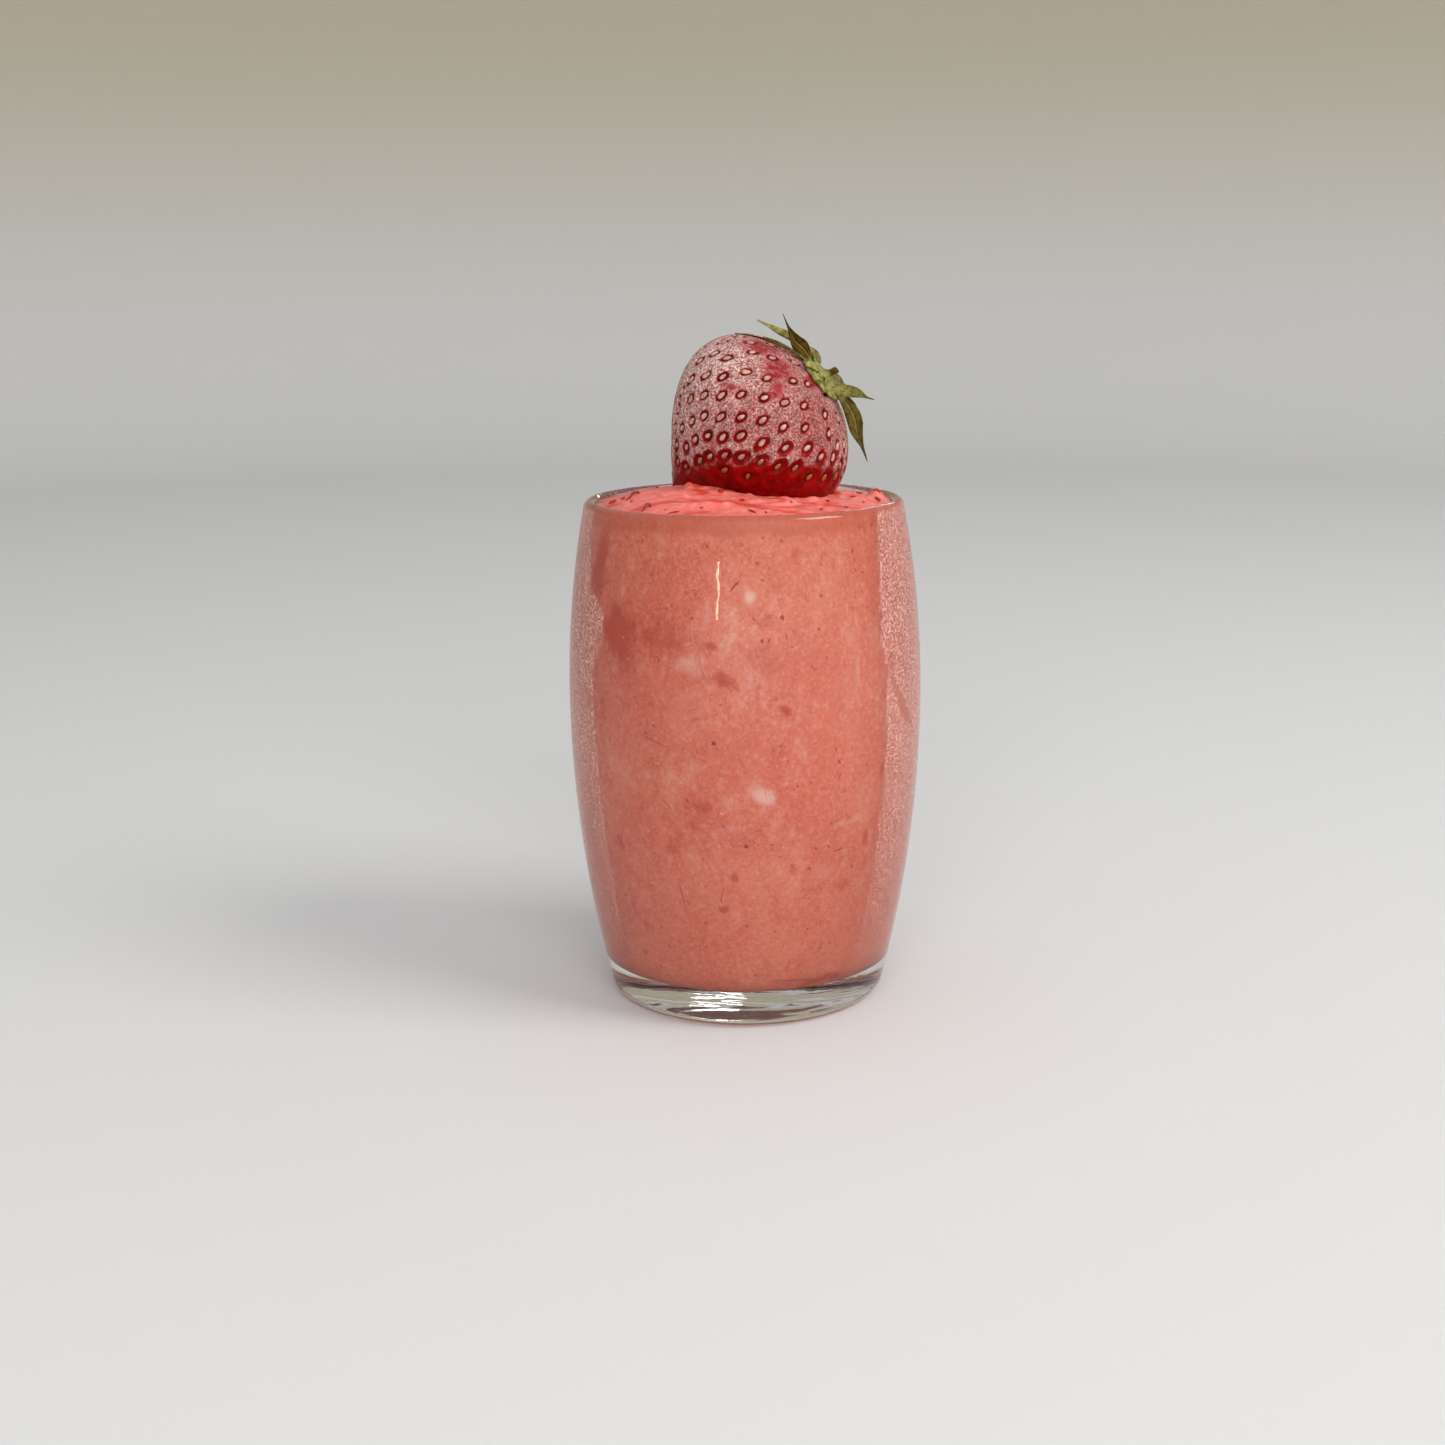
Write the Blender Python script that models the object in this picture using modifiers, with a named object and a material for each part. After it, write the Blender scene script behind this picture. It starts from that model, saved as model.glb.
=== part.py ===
"""Strawberry sorbet filled to the brim of a small barrel glass, with a strawberry on top.

Metres, +Z up. The origin is the centre of the glass's foot, on the surface it stands on.
+X is the side that the strawberry's leaves point to, -Y is the side that is seen first.
Four pieces: the glass, the sorbet in it, the strawberry and the strawberry's calyx.
"""

import math

import bmesh
import bpy
import numpy as np
from mathutils import Matrix, Vector

MM = 0.001
GAP = 0.3 * MM                       # air left between two pieces that touch

# The glass: two long arcs make its side, which is widest at BELLY_HEIGHT.
GLASS_HEIGHT = 84.0 * MM
BELLY_RADIUS = 29.5 * MM
BELLY_HEIGHT = 51.0 * MM
LOWER_SIDE_ARC = 205.0 * MM
UPPER_SIDE_ARC = 165.0 * MM
WALL = 2.2 * MM
FLOOR = 6.0 * MM
HEEL_ROUNDING = 2.3 * MM
INNER_CORNER = 5.0 * MM
TURN_STEPS = 48

# The sorbet: it meets the wall just under the rim and rises to a low dome.
SORBET_EDGE_HEIGHT = 83.2 * MM
DOME_RISE = 2.95 * MM
DOME_LEAN_X = -0.036                 # change of the rise for each metre towards +X
DOME_LEAN_Y = -0.118                 # and for each metre towards +Y
DIP_DEPTH = 1.36 * MM                # broad hollow in front of the strawberry
DIP_SPREAD = 10.8 * MM
DIP_X, DIP_Y = 6.5 * MM, -10.0 * MM
SMEAR_DEPTH = 0.22 * MM
SMEAR_WIDTHS = (1.15 * MM, 0.62 * MM)
TOP_RINGS = 10

# The strawberry: an ellipse at the leaf end, an ellipse drawn in towards the tip at the other.
BERRY_CENTRE = Vector((3.45, 3.0, 95.6)) * MM
BERRY_TILT = math.radians(51.7)      # axis from upright towards +X
BERRY_TURN = math.radians(-14.0)     # and its leaf end turned a little towards -Y
BERRY_RADIUS = 16.2 * MM
BERRY_LEAF_END = 12.2 * MM           # from the widest place to the leaf end
BERRY_TIP_END = 19.6 * MM            # and to the tip
TIP_TAPER = 0.7                      # share by which the tip's ellipse is drawn in
BERRY_STEPS = 36
BERRY_RINGS = 20

SEED_COUNT = 250                     # over the whole berry; those hidden below are left out
SEED_LENGTH = 1.4 * MM
SEED_WIDTH = 0.95 * MM
SEED_PROUD = 0.2 * MM
SEED_CLEARANCE = 1.2 * MM            # from a seed's middle to the sorbet
SEED_FREE_EDGE = 3.0 * MM            # seedless ring round the crown

# The calyx: a crown on the leaf end, a stub of stalk and pointed sepals.
CROWN_RADIUS = 4.4 * MM
CROWN_THICKNESS = 0.9 * MM
SEPAL_THICKNESS = 0.42 * MM
SEPAL_START = 1.8 * MM               # from the axis, under the crown
SEPAL_HEIGHT = 0.62 * MM             # of its root above the berry
SEPAL_FOLD = 0.22                    # height of its edges for each metre from its middle line
SEPAL_WAVE = 0.12 * MM
SEPAL_TURN_SHARE = 0.22              # of its length it takes to twist, for each power of lift
SEPAL_ROWS = 5
CROWN_STEPS = 20
CROWN_RINGS = 4
STALK_RADIUS = 0.6 * MM
STALK_LENGTH = 1.9 * MM

# Each sepal: azimuth about the berry's axis (0 is down the +X side, -90 towards -Y), length along
# the berry from the axis, width, lift of its tip off the berry and the power of its length by which
# it lifts, twist about its own length, sideways bend. Degrees and millimetres.
SEPALS = {
    "arched": (172.0, 13.8, 2.4, 1.7, 2.2, 45.0, 0.0),
    "upright": (-160.0, 10.0, 2.6, 4.7, 2.6, -75.0, 0.0),
    "long_left": (-150.0, 16.0, 2.0, 1.2, 1.8, -6.0, 0.0),
    "short_top": (-176.0, 6.6, 2.6, 1.0, 1.8, 40.0, 0.0),
    "front_left": (-124.0, 5.6, 3.4, 0.5, 1.8, 12.0, 0.4),
    "front": (-94.0, 5.2, 3.4, 0.3, 1.8, 0.0, 0.4),
    "front_right": (-62.0, 5.2, 3.2, 0.5, 1.8, -14.0, 0.2),
    "pointing_out": (-14.0, 6.6, 3.4, 6.0, 1.5, 80.0, 0.0),
    "hanging": (4.0, 14.1, 2.7, 2.8, 2.4, 75.0, 0.0),
    "back_right": (36.0, 10.5, 3.6, 2.2, 2.0, -22.0, -0.8),
    "back": (72.0, 9.5, 3.6, 2.4, 1.6, 14.0, 0.6),
    "far_back": (104.0, 11.5, 3.6, 1.4, 2.0, -10.0, 0.5),
    "far_left": (138.0, 10.5, 3.4, 2.0, 1.8, -16.0, -0.4),
}

# Small things fused to the sorbet's top: x, y, length, width, height, turn in degrees.
CURLS = [
    (-8.4, -7.2, 3.4, 1.4, 1.5, 12.0),
    (22.0, 0.6, 2.4, 1.7, 1.6, 70.0),
]
FLECKS = [
    (21.6, -2.4, 1.5, 0.9, 0.5, 20.0),
    (-19.2, 6.0, 2.2, 0.8, 0.6, -35.0),
    (-20.6, 2.0, 1.6, 0.7, 0.5, 60.0),
    (-16.3, -3.5, 1.8, 0.8, 0.5, 10.0),
    (-2.9, -17.4, 1.3, 0.8, 0.4, -10.0),
    (12.0, -15.6, 2.0, 0.8, 0.5, 15.0),
    (17.2, -8.6, 2.2, 0.9, 0.5, 40.0),
    (9.0, 19.4, 1.8, 0.9, 0.5, -20.0),
    (-9.5, 18.6, 1.6, 0.8, 0.5, 45.0),
    (20.0, 8.0, 1.4, 0.8, 0.5, -60.0),
]


def clear_scene():
    for obj in list(bpy.data.objects):
        bpy.data.objects.remove(obj, do_unlink=True)


def new_collection(name):
    collection = bpy.data.collections.new(name)
    bpy.context.scene.collection.children.link(collection)
    return collection


def material(name, colour, roughness, transmission=0.0):
    made = bpy.data.materials.new(name)
    made.use_nodes = True
    shader = made.node_tree.nodes["Principled BSDF"]
    shader.inputs["Base Color"].default_value = (*colour, 1.0)
    shader.inputs["Roughness"].default_value = roughness
    shader.inputs["Metallic"].default_value = 0.0
    shader.inputs["Transmission Weight"].default_value = transmission
    made.diffuse_color = (*colour, 1.0)
    return made


def add_object(name, mesh, collection, finish=None):
    obj = bpy.data.objects.new(name, mesh)
    collection.objects.link(obj)
    if finish is not None:
        mesh.materials.clear()
        mesh.materials.append(finish)
    return obj


def smooth_shading(obj, angle=35.0):
    obj.data.shade_smooth()
    obj.data.set_sharp_from_angle(angle=math.radians(angle))


def evaluated_mesh(obj):
    """The object's mesh with its modifiers applied, still in its own coordinates."""
    graph = bpy.context.evaluated_depsgraph_get()
    return bpy.data.meshes.new_from_object(obj.evaluated_get(graph))


def turned(name, profile, steps, collection):
    """A profile of (radius, height) points, run down its outer side and turned about Z."""
    mesh = bpy.data.meshes.new(name)
    points = [(radius, 0.0, height) for radius, height in profile]
    mesh.from_pydata(points, [(i, i + 1) for i in range(len(points) - 1)], [])
    obj = add_object(name, mesh, collection)
    screw = obj.modifiers.new("Turn", "SCREW")
    screw.steps = steps
    screw.render_steps = steps
    screw.use_merge_vertices = True
    screw.merge_threshold = 0.00001
    return obj


def side_radius(height, inset=0.0):
    """Radius of the glass's side at a height, or of a surface that lies inset inside it."""
    arc = LOWER_SIDE_ARC if height < BELLY_HEIGHT else UPPER_SIDE_ARC
    rise = height - BELLY_HEIGHT
    return BELLY_RADIUS - arc + math.sqrt((arc - inset) ** 2 - rise ** 2)


def side_heights(low, high, count):
    return [low + (high - low) * i / count for i in range(count + 1)]


def corner_arc(floor_height, rounding, inset, count):
    """Arc from the flat floor up to the side, tangent to both."""
    centre_height = floor_height + rounding
    reach = LOWER_SIDE_ARC - inset - rounding
    arc_centre = BELLY_RADIUS - LOWER_SIDE_ARC
    centre_radius = arc_centre + math.sqrt(reach ** 2 - (centre_height - BELLY_HEIGHT) ** 2)
    end = math.atan2(centre_height - BELLY_HEIGHT, centre_radius - arc_centre)
    start = -math.pi / 2
    angles = [start + (end - start) * i / count for i in range(count + 1)]
    return [(centre_radius + rounding * math.cos(a), centre_height + rounding * math.sin(a))
            for a in angles]


def cup_profile(inset, floor_height, rounding, top, corner_steps, side_steps):
    """From the axis along a floor, round the corner and up the side to the top."""
    corner = corner_arc(floor_height, rounding, inset, corner_steps)
    heights = side_heights(corner[-1][1], top, side_steps)[1:]
    side = [(side_radius(height, inset), height) for height in heights]
    return [(0.0, floor_height)] + corner + side


def glass_profile():
    lip = WALL / 2
    lip_height = GLASS_HEIGHT - lip
    inside = cup_profile(WALL, FLOOR, INNER_CORNER, lip_height, 4, 7)
    outside = cup_profile(0.0, 0.0, HEEL_ROUNDING, lip_height, 3, 8)
    middle = (inside[-1][0] + outside[-1][0]) / 2
    half = (outside[-1][0] - inside[-1][0]) / 2
    rim = []
    for step in range(1, 6):
        angle = math.pi - math.pi * step / 6
        rim.append((middle + half * math.cos(angle), lip_height + lip * math.sin(angle)))
    return inside + rim + outside[::-1]


def make_glass(collection):
    glass = turned("glass", glass_profile(), TURN_STEPS, collection)
    glass.data.materials.append(material("clear glass", (0.86, 0.90, 0.88), 0.05, 0.9))
    smooth_shading(glass)
    return glass


def dome_height(x, y):
    """Height of the sorbet's top: a leaning dome with a hollow and shallow knife smears."""
    edge = side_radius(SORBET_EDGE_HEIGHT, WALL + GAP)
    span = np.clip(1.0 - (x ** 2 + y ** 2) / edge ** 2, 0.0, 1.0)
    rise = DOME_RISE + DOME_LEAN_X * x + DOME_LEAN_Y * y
    bend = y + 0.14 * x + 0.9 * MM * np.sin(x / (6.0 * MM))
    broad, narrow = SMEAR_WIDTHS
    smears = np.sin(bend / broad) + 0.6 * np.sin(bend / narrow + 1.3)
    dip = np.exp(-((x - DIP_X) ** 2 + (y - DIP_Y) ** 2) / DIP_SPREAD ** 2)
    fade = np.clip(span * 5.0, 0.0, 1.0)
    relief = SMEAR_DEPTH * smears - DIP_DEPTH * dip
    return SORBET_EDGE_HEIGHT + rise * span + relief * fade


def sorbet_profile():
    edge = side_radius(SORBET_EDGE_HEIGHT, WALL + GAP)
    rings = [(edge * i / TOP_RINGS, SORBET_EDGE_HEIGHT) for i in range(TOP_RINGS)]
    cup = cup_profile(WALL + GAP, FLOOR + GAP, INNER_CORNER, SORBET_EDGE_HEIGHT, 4, 7)
    return rings + cup[::-1]


def raise_top(mesh):
    """Lift the flat top of the turned sorbet to its dome."""
    count = len(mesh.vertices)
    points = np.empty(count * 3, dtype=np.float32)
    mesh.vertices.foreach_get("co", points)
    points = points.reshape(count, 3)
    radius = np.hypot(points[:, 0], points[:, 1])
    edge = side_radius(SORBET_EDGE_HEIGHT, WALL + GAP)
    top = (points[:, 2] > SORBET_EDGE_HEIGHT - 0.01 * MM) & (radius < edge - 0.01 * MM)
    points[top, 2] = dome_height(points[top, 0], points[top, 1])
    mesh.vertices.foreach_set("co", points.ravel())
    mesh.update()


def lump(name, size, place, turn, collection):
    """A small ellipsoid of 20 faces, half sunk where it lies."""
    shape = bmesh.new()
    bmesh.ops.create_icosphere(shape, subdivisions=1, radius=0.5)
    bmesh.ops.scale(shape, vec=size, verts=shape.verts)
    mesh = bpy.data.meshes.new(name)
    shape.to_mesh(mesh)
    shape.free()
    obj = add_object(name, mesh, collection)
    obj.matrix_world = Matrix.Translation(place) @ Matrix.Rotation(turn, 4, "Z")
    return obj


def unite(obj, pieces, solver="EXACT"):
    """Fuse a collection of pieces to the object's mesh, then remove the pieces."""
    join = obj.modifiers.new("Fuse", "BOOLEAN")
    join.operation = "UNION"
    join.operand_type = "COLLECTION"
    join.collection = pieces
    join.solver = solver
    fused = evaluated_mesh(obj)
    obj.modifiers.remove(join)
    finish = obj.data.materials[0]
    old = obj.data
    obj.data = fused
    obj.data.materials.clear()
    obj.data.materials.append(finish)
    bpy.data.meshes.remove(old)
    for piece in list(pieces.objects):
        bpy.data.objects.remove(piece, do_unlink=True)
    bpy.data.collections.remove(pieces)


def top_pieces():
    """The curls of sorbet and the flecks of fruit that lie on the dome."""
    pieces = new_collection("on the sorbet")
    for index, (x, y, length, width, height, turn) in enumerate(CURLS + FLECKS):
        level = float(dome_height(np.float64(x * MM), np.float64(y * MM)))
        place = Vector((x * MM, y * MM, level))
        size = Vector((length, width, height)) * MM
        lump(f"on_top_{index}", size, place, math.radians(turn), pieces)
    return pieces


def make_sorbet(collection, cutters):
    finish = material("strawberry sorbet", (0.80, 0.27, 0.24), 0.45)
    turned_core = turned("sorbet core", sorbet_profile(), TURN_STEPS, cutters)
    mesh = evaluated_mesh(turned_core)
    bpy.data.objects.remove(turned_core, do_unlink=True)
    raise_top(mesh)
    sorbet = add_object("sorbet", mesh, collection, finish)
    unite(sorbet, top_pieces())
    socket = berry_body("berry socket", GAP, cutters)
    socket.hide_render = True
    socket.display_type = "WIRE"
    cut = sorbet.modifiers.new("Berry socket", "BOOLEAN")
    cut.operation = "DIFFERENCE"
    cut.object = socket
    cut.solver = "EXACT"
    smooth_shading(sorbet)
    return sorbet


def berry_profile_point(angle, grow=0.0):
    """Radius and height along the berry's axis; angle 0 is the leaf end and pi the tip."""
    across, along = math.sin(angle), math.cos(angle)
    if along >= 0.0:
        return ((BERRY_RADIUS + grow) * across, (BERRY_LEAF_END + grow) * along)
    drawn_in = 1.0 - TIP_TAPER * along ** 2
    return ((BERRY_RADIUS * drawn_in + grow) * across, (BERRY_TIP_END + grow) * along)


def berry_frame():
    turn = Matrix.Rotation(BERRY_TURN, 4, "Z") @ Matrix.Rotation(BERRY_TILT, 4, "Y")
    return Matrix.Translation(BERRY_CENTRE) @ turn


def berry_body(name, grow, collection):
    """The berry as a turned solid with its axis along Z, then tilted into its place."""
    angles = [math.pi * i / BERRY_RINGS for i in range(BERRY_RINGS + 1)]
    profile = [berry_profile_point(angle, grow) for angle in angles]
    profile[0] = (0.0, profile[0][1])
    profile[-1] = (0.0, profile[-1][1])
    turned_body = turned(name + " turned", profile, BERRY_STEPS, collection)
    mesh = evaluated_mesh(turned_body)
    bpy.data.objects.remove(turned_body, do_unlink=True)
    body = add_object(name, mesh, collection)
    body.matrix_world = berry_frame()
    return body


def berry_arc_table(samples=400):
    """Angles along the berry's profile with the length of arc and the area from the leaf end."""
    angles = np.linspace(0.0, math.pi, samples)
    points = np.array([berry_profile_point(angle) for angle in angles])
    steps = np.hypot(*np.diff(points, axis=0).T)
    arc = np.concatenate([[0.0], np.cumsum(steps)])
    middle = (points[1:, 0] + points[:-1, 0]) / 2
    area = np.concatenate([[0.0], np.cumsum(steps * middle)])
    return angles, arc, area / area[-1]


def berry_surface(angle, azimuth):
    """Point on the berry, outward normal and direction towards the tip, in the berry's frame."""
    step = 0.001
    radius, height = berry_profile_point(angle)
    ahead = berry_profile_point(min(angle + step, math.pi))
    behind = berry_profile_point(max(angle - step, 0.0))
    run = Vector((ahead[0] - behind[0], 0.0, ahead[1] - behind[1])).normalized()
    normal = Vector((-run.z, 0.0, run.x))
    spin = Matrix.Rotation(azimuth, 3, "Z")
    return spin @ Vector((radius, 0.0, height)), spin @ normal, spin @ run


def seed_places():
    """Seeds wound round the berry by the golden angle, each with the same share of its skin."""
    angles, arc, area = berry_arc_table()
    golden = math.pi * (3.0 - math.sqrt(5.0))
    for index in range(SEED_COUNT):
        share = (index + 0.5) / SEED_COUNT
        angle = float(np.interp(share, area, angles))
        reach = float(np.interp(share, area, arc))
        yield angle, index * golden, reach


def seed_body(name, collection):
    """A six-sided oval button with sloping sides, half sunk in the skin."""
    shape = bmesh.new()
    bmesh.ops.create_cone(shape, cap_ends=True, segments=6, radius1=0.66, radius2=0.34, depth=2.0)
    bmesh.ops.scale(shape, vec=(SEED_LENGTH, SEED_WIDTH, SEED_PROUD), verts=shape.verts)
    mesh = bpy.data.meshes.new(name)
    shape.to_mesh(mesh)
    shape.free()
    return add_object(name, mesh, collection)


def berry_seeds():
    """Seeds clear of the crown and above the sorbet, lying along the berry's length."""
    pieces = new_collection("seeds")
    frame = berry_frame()
    for index, (angle, azimuth, reach) in enumerate(seed_places()):
        place, normal, run = berry_surface(angle, azimuth)
        world = frame @ place
        if reach < CROWN_RADIUS + SEED_FREE_EDGE:
            continue
        if world.z < float(dome_height(world.x, world.y)) + SEED_CLEARANCE:
            continue
        across = normal.cross(run)
        turn = Matrix((run, across, normal)).transposed().to_4x4()
        seed = seed_body(f"seed_{index}", pieces)
        seed.matrix_world = frame @ Matrix.Translation(place) @ turn
    return pieces


def make_strawberry(collection):
    finish = material("frosted strawberry", (0.55, 0.16, 0.17), 0.6)
    strawberry = berry_body("strawberry", 0.0, collection)
    strawberry.data.materials.append(finish)
    unite(strawberry, berry_seeds())
    smooth_shading(strawberry)
    return strawberry


def sepal_outline(share):
    """Half width of a sepal, as a share of its widest, from its root (0) to its point (1)."""
    bulge = 0.35 + 0.65 * math.sin(math.pi * min(share / 0.85, 1.0) ** 1.5)
    return bulge * (1.0 - share ** 4) + 0.03


def sepal(name, spec, collection):
    """A pointed leaf folded along its middle: it follows the berry, lifts off it and twists."""
    azimuth, length, width, lift, lateness, twist, bend = spec
    angles, arc, _ = berry_arc_table()
    shape = bmesh.new()
    bmesh.ops.create_grid(shape, x_segments=2, y_segments=SEPAL_ROWS, size=1.0)
    for vertex in shape.verts:
        share = (vertex.co.y + 1.0) / 2
        side = vertex.co.x
        reach = SEPAL_START + (length * MM - SEPAL_START) * share
        angle = float(np.interp(reach, arc, angles))
        place, normal, run = berry_surface(angle, math.radians(azimuth))
        across = normal.cross(run)
        turned_by = math.sin(math.pi / 2 * min(share / (SEPAL_TURN_SHARE * lateness), 1.0)) ** 2
        twisted = math.radians(twist) * turned_by
        turn = Matrix.Rotation(twisted, 3, run)
        half = width * MM / 2 * sepal_outline(share)
        lifted = lift * MM * share ** lateness
        clear = half * math.sin(twisted)
        height = SEPAL_HEIGHT + (lifted ** 4 + clear ** 4) ** 0.25
        fold = SEPAL_FOLD * abs(side) * half + SEPAL_WAVE * math.sin(7.0 * share + 2.0 * side)
        offset = turn @ (across * side * half + normal * fold)
        sway = across * bend * MM * share ** 2
        vertex.co = place + normal * height + offset + sway
    bmesh.ops.triangulate(shape, faces=shape.faces)
    bmesh.ops.recalc_face_normals(shape, faces=shape.faces)
    mesh = bpy.data.meshes.new(name)
    shape.to_mesh(mesh)
    shape.free()
    sheet = add_object(name + " sheet", mesh, collection)
    thickness = sheet.modifiers.new("Thickness", "SOLIDIFY")
    thickness.thickness = SEPAL_THICKNESS
    thickness.offset = 0.0
    leaf = add_object(name, evaluated_mesh(sheet), collection)
    leaf.matrix_world = berry_frame()
    bpy.data.objects.remove(sheet, do_unlink=True)
    return leaf


def crown_profile():
    """A thin cap that lies on the leaf end, down its outer side and back under to the axis."""
    angles, arc, _ = berry_arc_table()
    under, over = [], []
    for ring in range(CROWN_RINGS + 1):
        reach = CROWN_RADIUS * ring / CROWN_RINGS
        place, normal, run = berry_surface(float(np.interp(reach, arc, angles)), 0.0)
        low = place + normal * GAP
        taper = 1.0 - 0.5 * (ring / CROWN_RINGS) ** 2
        high = low + normal * CROWN_THICKNESS * taper
        under.append((low.x, low.z))
        over.append((high.x, high.z))
    under[0] = (0.0, under[0][1])
    over[0] = (0.0, over[0][1])
    return over + under[::-1]


def stalk(collection):
    """The short stub that is left of the stalk, leaning a little."""
    shape = bmesh.new()
    bmesh.ops.create_cone(shape, cap_ends=True, segments=10, radius1=STALK_RADIUS * 1.25,
                          radius2=STALK_RADIUS, depth=STALK_LENGTH)
    mesh = bpy.data.meshes.new("stalk")
    shape.to_mesh(mesh)
    shape.free()
    obj = add_object("stalk", mesh, collection)
    lift = BERRY_LEAF_END + GAP + CROWN_THICKNESS * 0.4 + STALK_LENGTH / 2
    lean = Matrix.Rotation(math.radians(14.0), 4, "Y")
    obj.matrix_world = berry_frame() @ Matrix.Translation((0.0, 0.0, lift)) @ lean
    return obj


def make_calyx(collection, cutters):
    finish = material("calyx green", (0.20, 0.24, 0.07), 0.55)
    turned_crown = turned("crown", crown_profile(), CROWN_STEPS, cutters)
    mesh = evaluated_mesh(turned_crown)
    bpy.data.objects.remove(turned_crown, do_unlink=True)
    calyx = add_object("calyx", mesh, collection, finish)
    calyx.matrix_world = berry_frame()
    pieces = new_collection("calyx pieces")
    for name, spec in SEPALS.items():
        sepal("sepal_" + name, spec, pieces)
    stalk(pieces)
    unite(calyx, pieces, "MANIFOLD")
    smooth_shading(calyx)
    return calyx


def main():
    clear_scene()
    part = new_collection("strawberry sorbet in a glass")
    cutters = new_collection("cutters")
    make_glass(part)
    make_sorbet(part, cutters)
    make_strawberry(part)
    make_calyx(part, cutters)


main()
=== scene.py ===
"""Strawberry sorbet in a small barrel glass: the looks of every piece, camera, light and floor.

Metres, +Z up. The glass stands at the origin, the camera looks along +Y from the -Y side.
New pieces are surfaces worked out with numpy over two parameters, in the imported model's frame.
"""

import math

import bpy
import numpy as np
from mathutils import Matrix, Vector


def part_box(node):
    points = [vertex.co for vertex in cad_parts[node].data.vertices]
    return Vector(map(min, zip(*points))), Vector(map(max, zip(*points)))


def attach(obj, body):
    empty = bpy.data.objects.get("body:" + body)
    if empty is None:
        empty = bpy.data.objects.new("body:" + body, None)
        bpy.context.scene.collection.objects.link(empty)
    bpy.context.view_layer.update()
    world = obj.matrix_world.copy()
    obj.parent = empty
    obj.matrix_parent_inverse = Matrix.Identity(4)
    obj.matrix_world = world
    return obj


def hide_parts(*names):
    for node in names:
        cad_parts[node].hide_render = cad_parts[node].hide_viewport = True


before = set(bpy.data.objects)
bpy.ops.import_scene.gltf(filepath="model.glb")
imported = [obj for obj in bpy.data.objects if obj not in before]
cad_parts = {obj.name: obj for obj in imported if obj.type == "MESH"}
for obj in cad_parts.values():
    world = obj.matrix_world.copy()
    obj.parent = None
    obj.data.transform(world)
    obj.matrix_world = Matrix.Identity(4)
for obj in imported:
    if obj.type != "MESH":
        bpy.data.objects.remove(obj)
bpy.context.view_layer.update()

MM = 0.001

# The glass, as in the frame: its side is two long arcs that meet at the belly.
GLASS_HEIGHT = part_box("glass")[1].z
BELLY_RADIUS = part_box("glass")[1].x
BELLY_HEIGHT = 51.0 * MM
LOWER_SIDE_ARC = 205.0 * MM
UPPER_SIDE_ARC = 165.0 * MM
WALL = 2.2 * MM
FLOOR = 6.0 * MM
HEEL_ROUNDING = 2.3 * MM
INNER_CORNER = 5.0 * MM
FOOT_RECESS = 0.7 * MM
FOOT_RECESS_RADIUS = 20.4 * MM
FOOT_RIPPLE = 0.05 * MM
FOOT_RIPPLE_RADIUS = 20.0 * MM
GLASS_INDEX = 1.5

# The sorbet reaches a little into the wall, so that no air shows between them.
INTO_WALL = 0.15 * MM
SORBET_EDGE_HEIGHT = 83.2 * MM
DOME_RISE = 2.95 * MM
DOME_LEAN_X = -0.036
DOME_LEAN_Y = -0.118
DIP_DEPTH = 1.36 * MM
DIP_SPREAD = 10.8 * MM
DIP_X, DIP_Y = 6.5 * MM, -10.0 * MM
SMEAR_DEPTH = 0.25 * MM
SMEAR_WIDTHS = (1.15 * MM, 0.62 * MM)
SHADE_UNDER_LIP = 80.1 * MM
SHRED_THICKNESS = 0.14 * MM
SKIN_THICKNESS = 0.3 * MM
SKIN_CLEAR_OF_EDGE = 0.6 * MM

# The strawberry: an ellipse at the leaf end, an ellipse drawn in towards the tip at the other.
BERRY_CENTRE = Vector((3.45, 3.0, 95.6)) * MM
BERRY_TILT = math.radians(51.7)
BERRY_TURN = math.radians(-14.0)
BERRY_RADIUS = 16.2 * MM
BERRY_LEAF_END = 12.2 * MM
BERRY_TIP_END = 19.6 * MM
TIP_TAPER = 0.7
SEED_COUNT = 250
SEED_LENGTH = 1.42 * MM
SEED_WIDTH = 0.94 * MM
SEED_THICKNESS = 0.6 * MM
SEED_ABOVE_DIMPLE = 0.13 * MM
SEED_SPACING = 3.0 * MM
ONLY_SEEN_BELOW = 89.0 * MM  # in front, where the photo shows every seed
DIMPLE_RADIUS = 0.95 * MM
DIMPLE_DEPTH = 0.36 * MM
FROST_HEIGHT = 88.3 * MM
FROST_LEAN = (0.045, 0.2, 1.0)
# Middles of the seeds that the photograph shows, in its pixels.
SEEN_SEEDS = [
    (727, 357), (753, 351), (773, 357), (796, 362), (746, 371), (722.5, 376), (705.5, 374.5),
    (690, 379), (768, 377), (794, 380), (809, 383), (824, 390), (721, 395), (741, 394), (765, 397),
    (785.5, 402), (805, 405), (826, 414), (703, 395), (689.5, 399), (677.5, 409), (703, 416),
    (720, 417), (741, 417), (763, 420), (784, 427), (806, 427.5), (830, 433), (691, 421),
    (681, 428), (694, 440), (707, 436), (722, 437.5), (740.5, 436), (762, 443), (786, 448),
    (808, 448), (822, 457), (834, 457.5), (685.5, 447.5), (677, 462.5), (685, 467), (699, 461),
    (709, 457), (724, 456), (741, 457.5), (760.5, 462.5), (778, 467), (795.5, 468.5), (724, 471),
    (747.5, 477), (810, 477.5), (825, 478), (836.5, 476.5), (699, 360), (714, 352.5),
    (681, 391), (838.5, 446), (841, 466), (676, 445), (674.5, 428),
]
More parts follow.
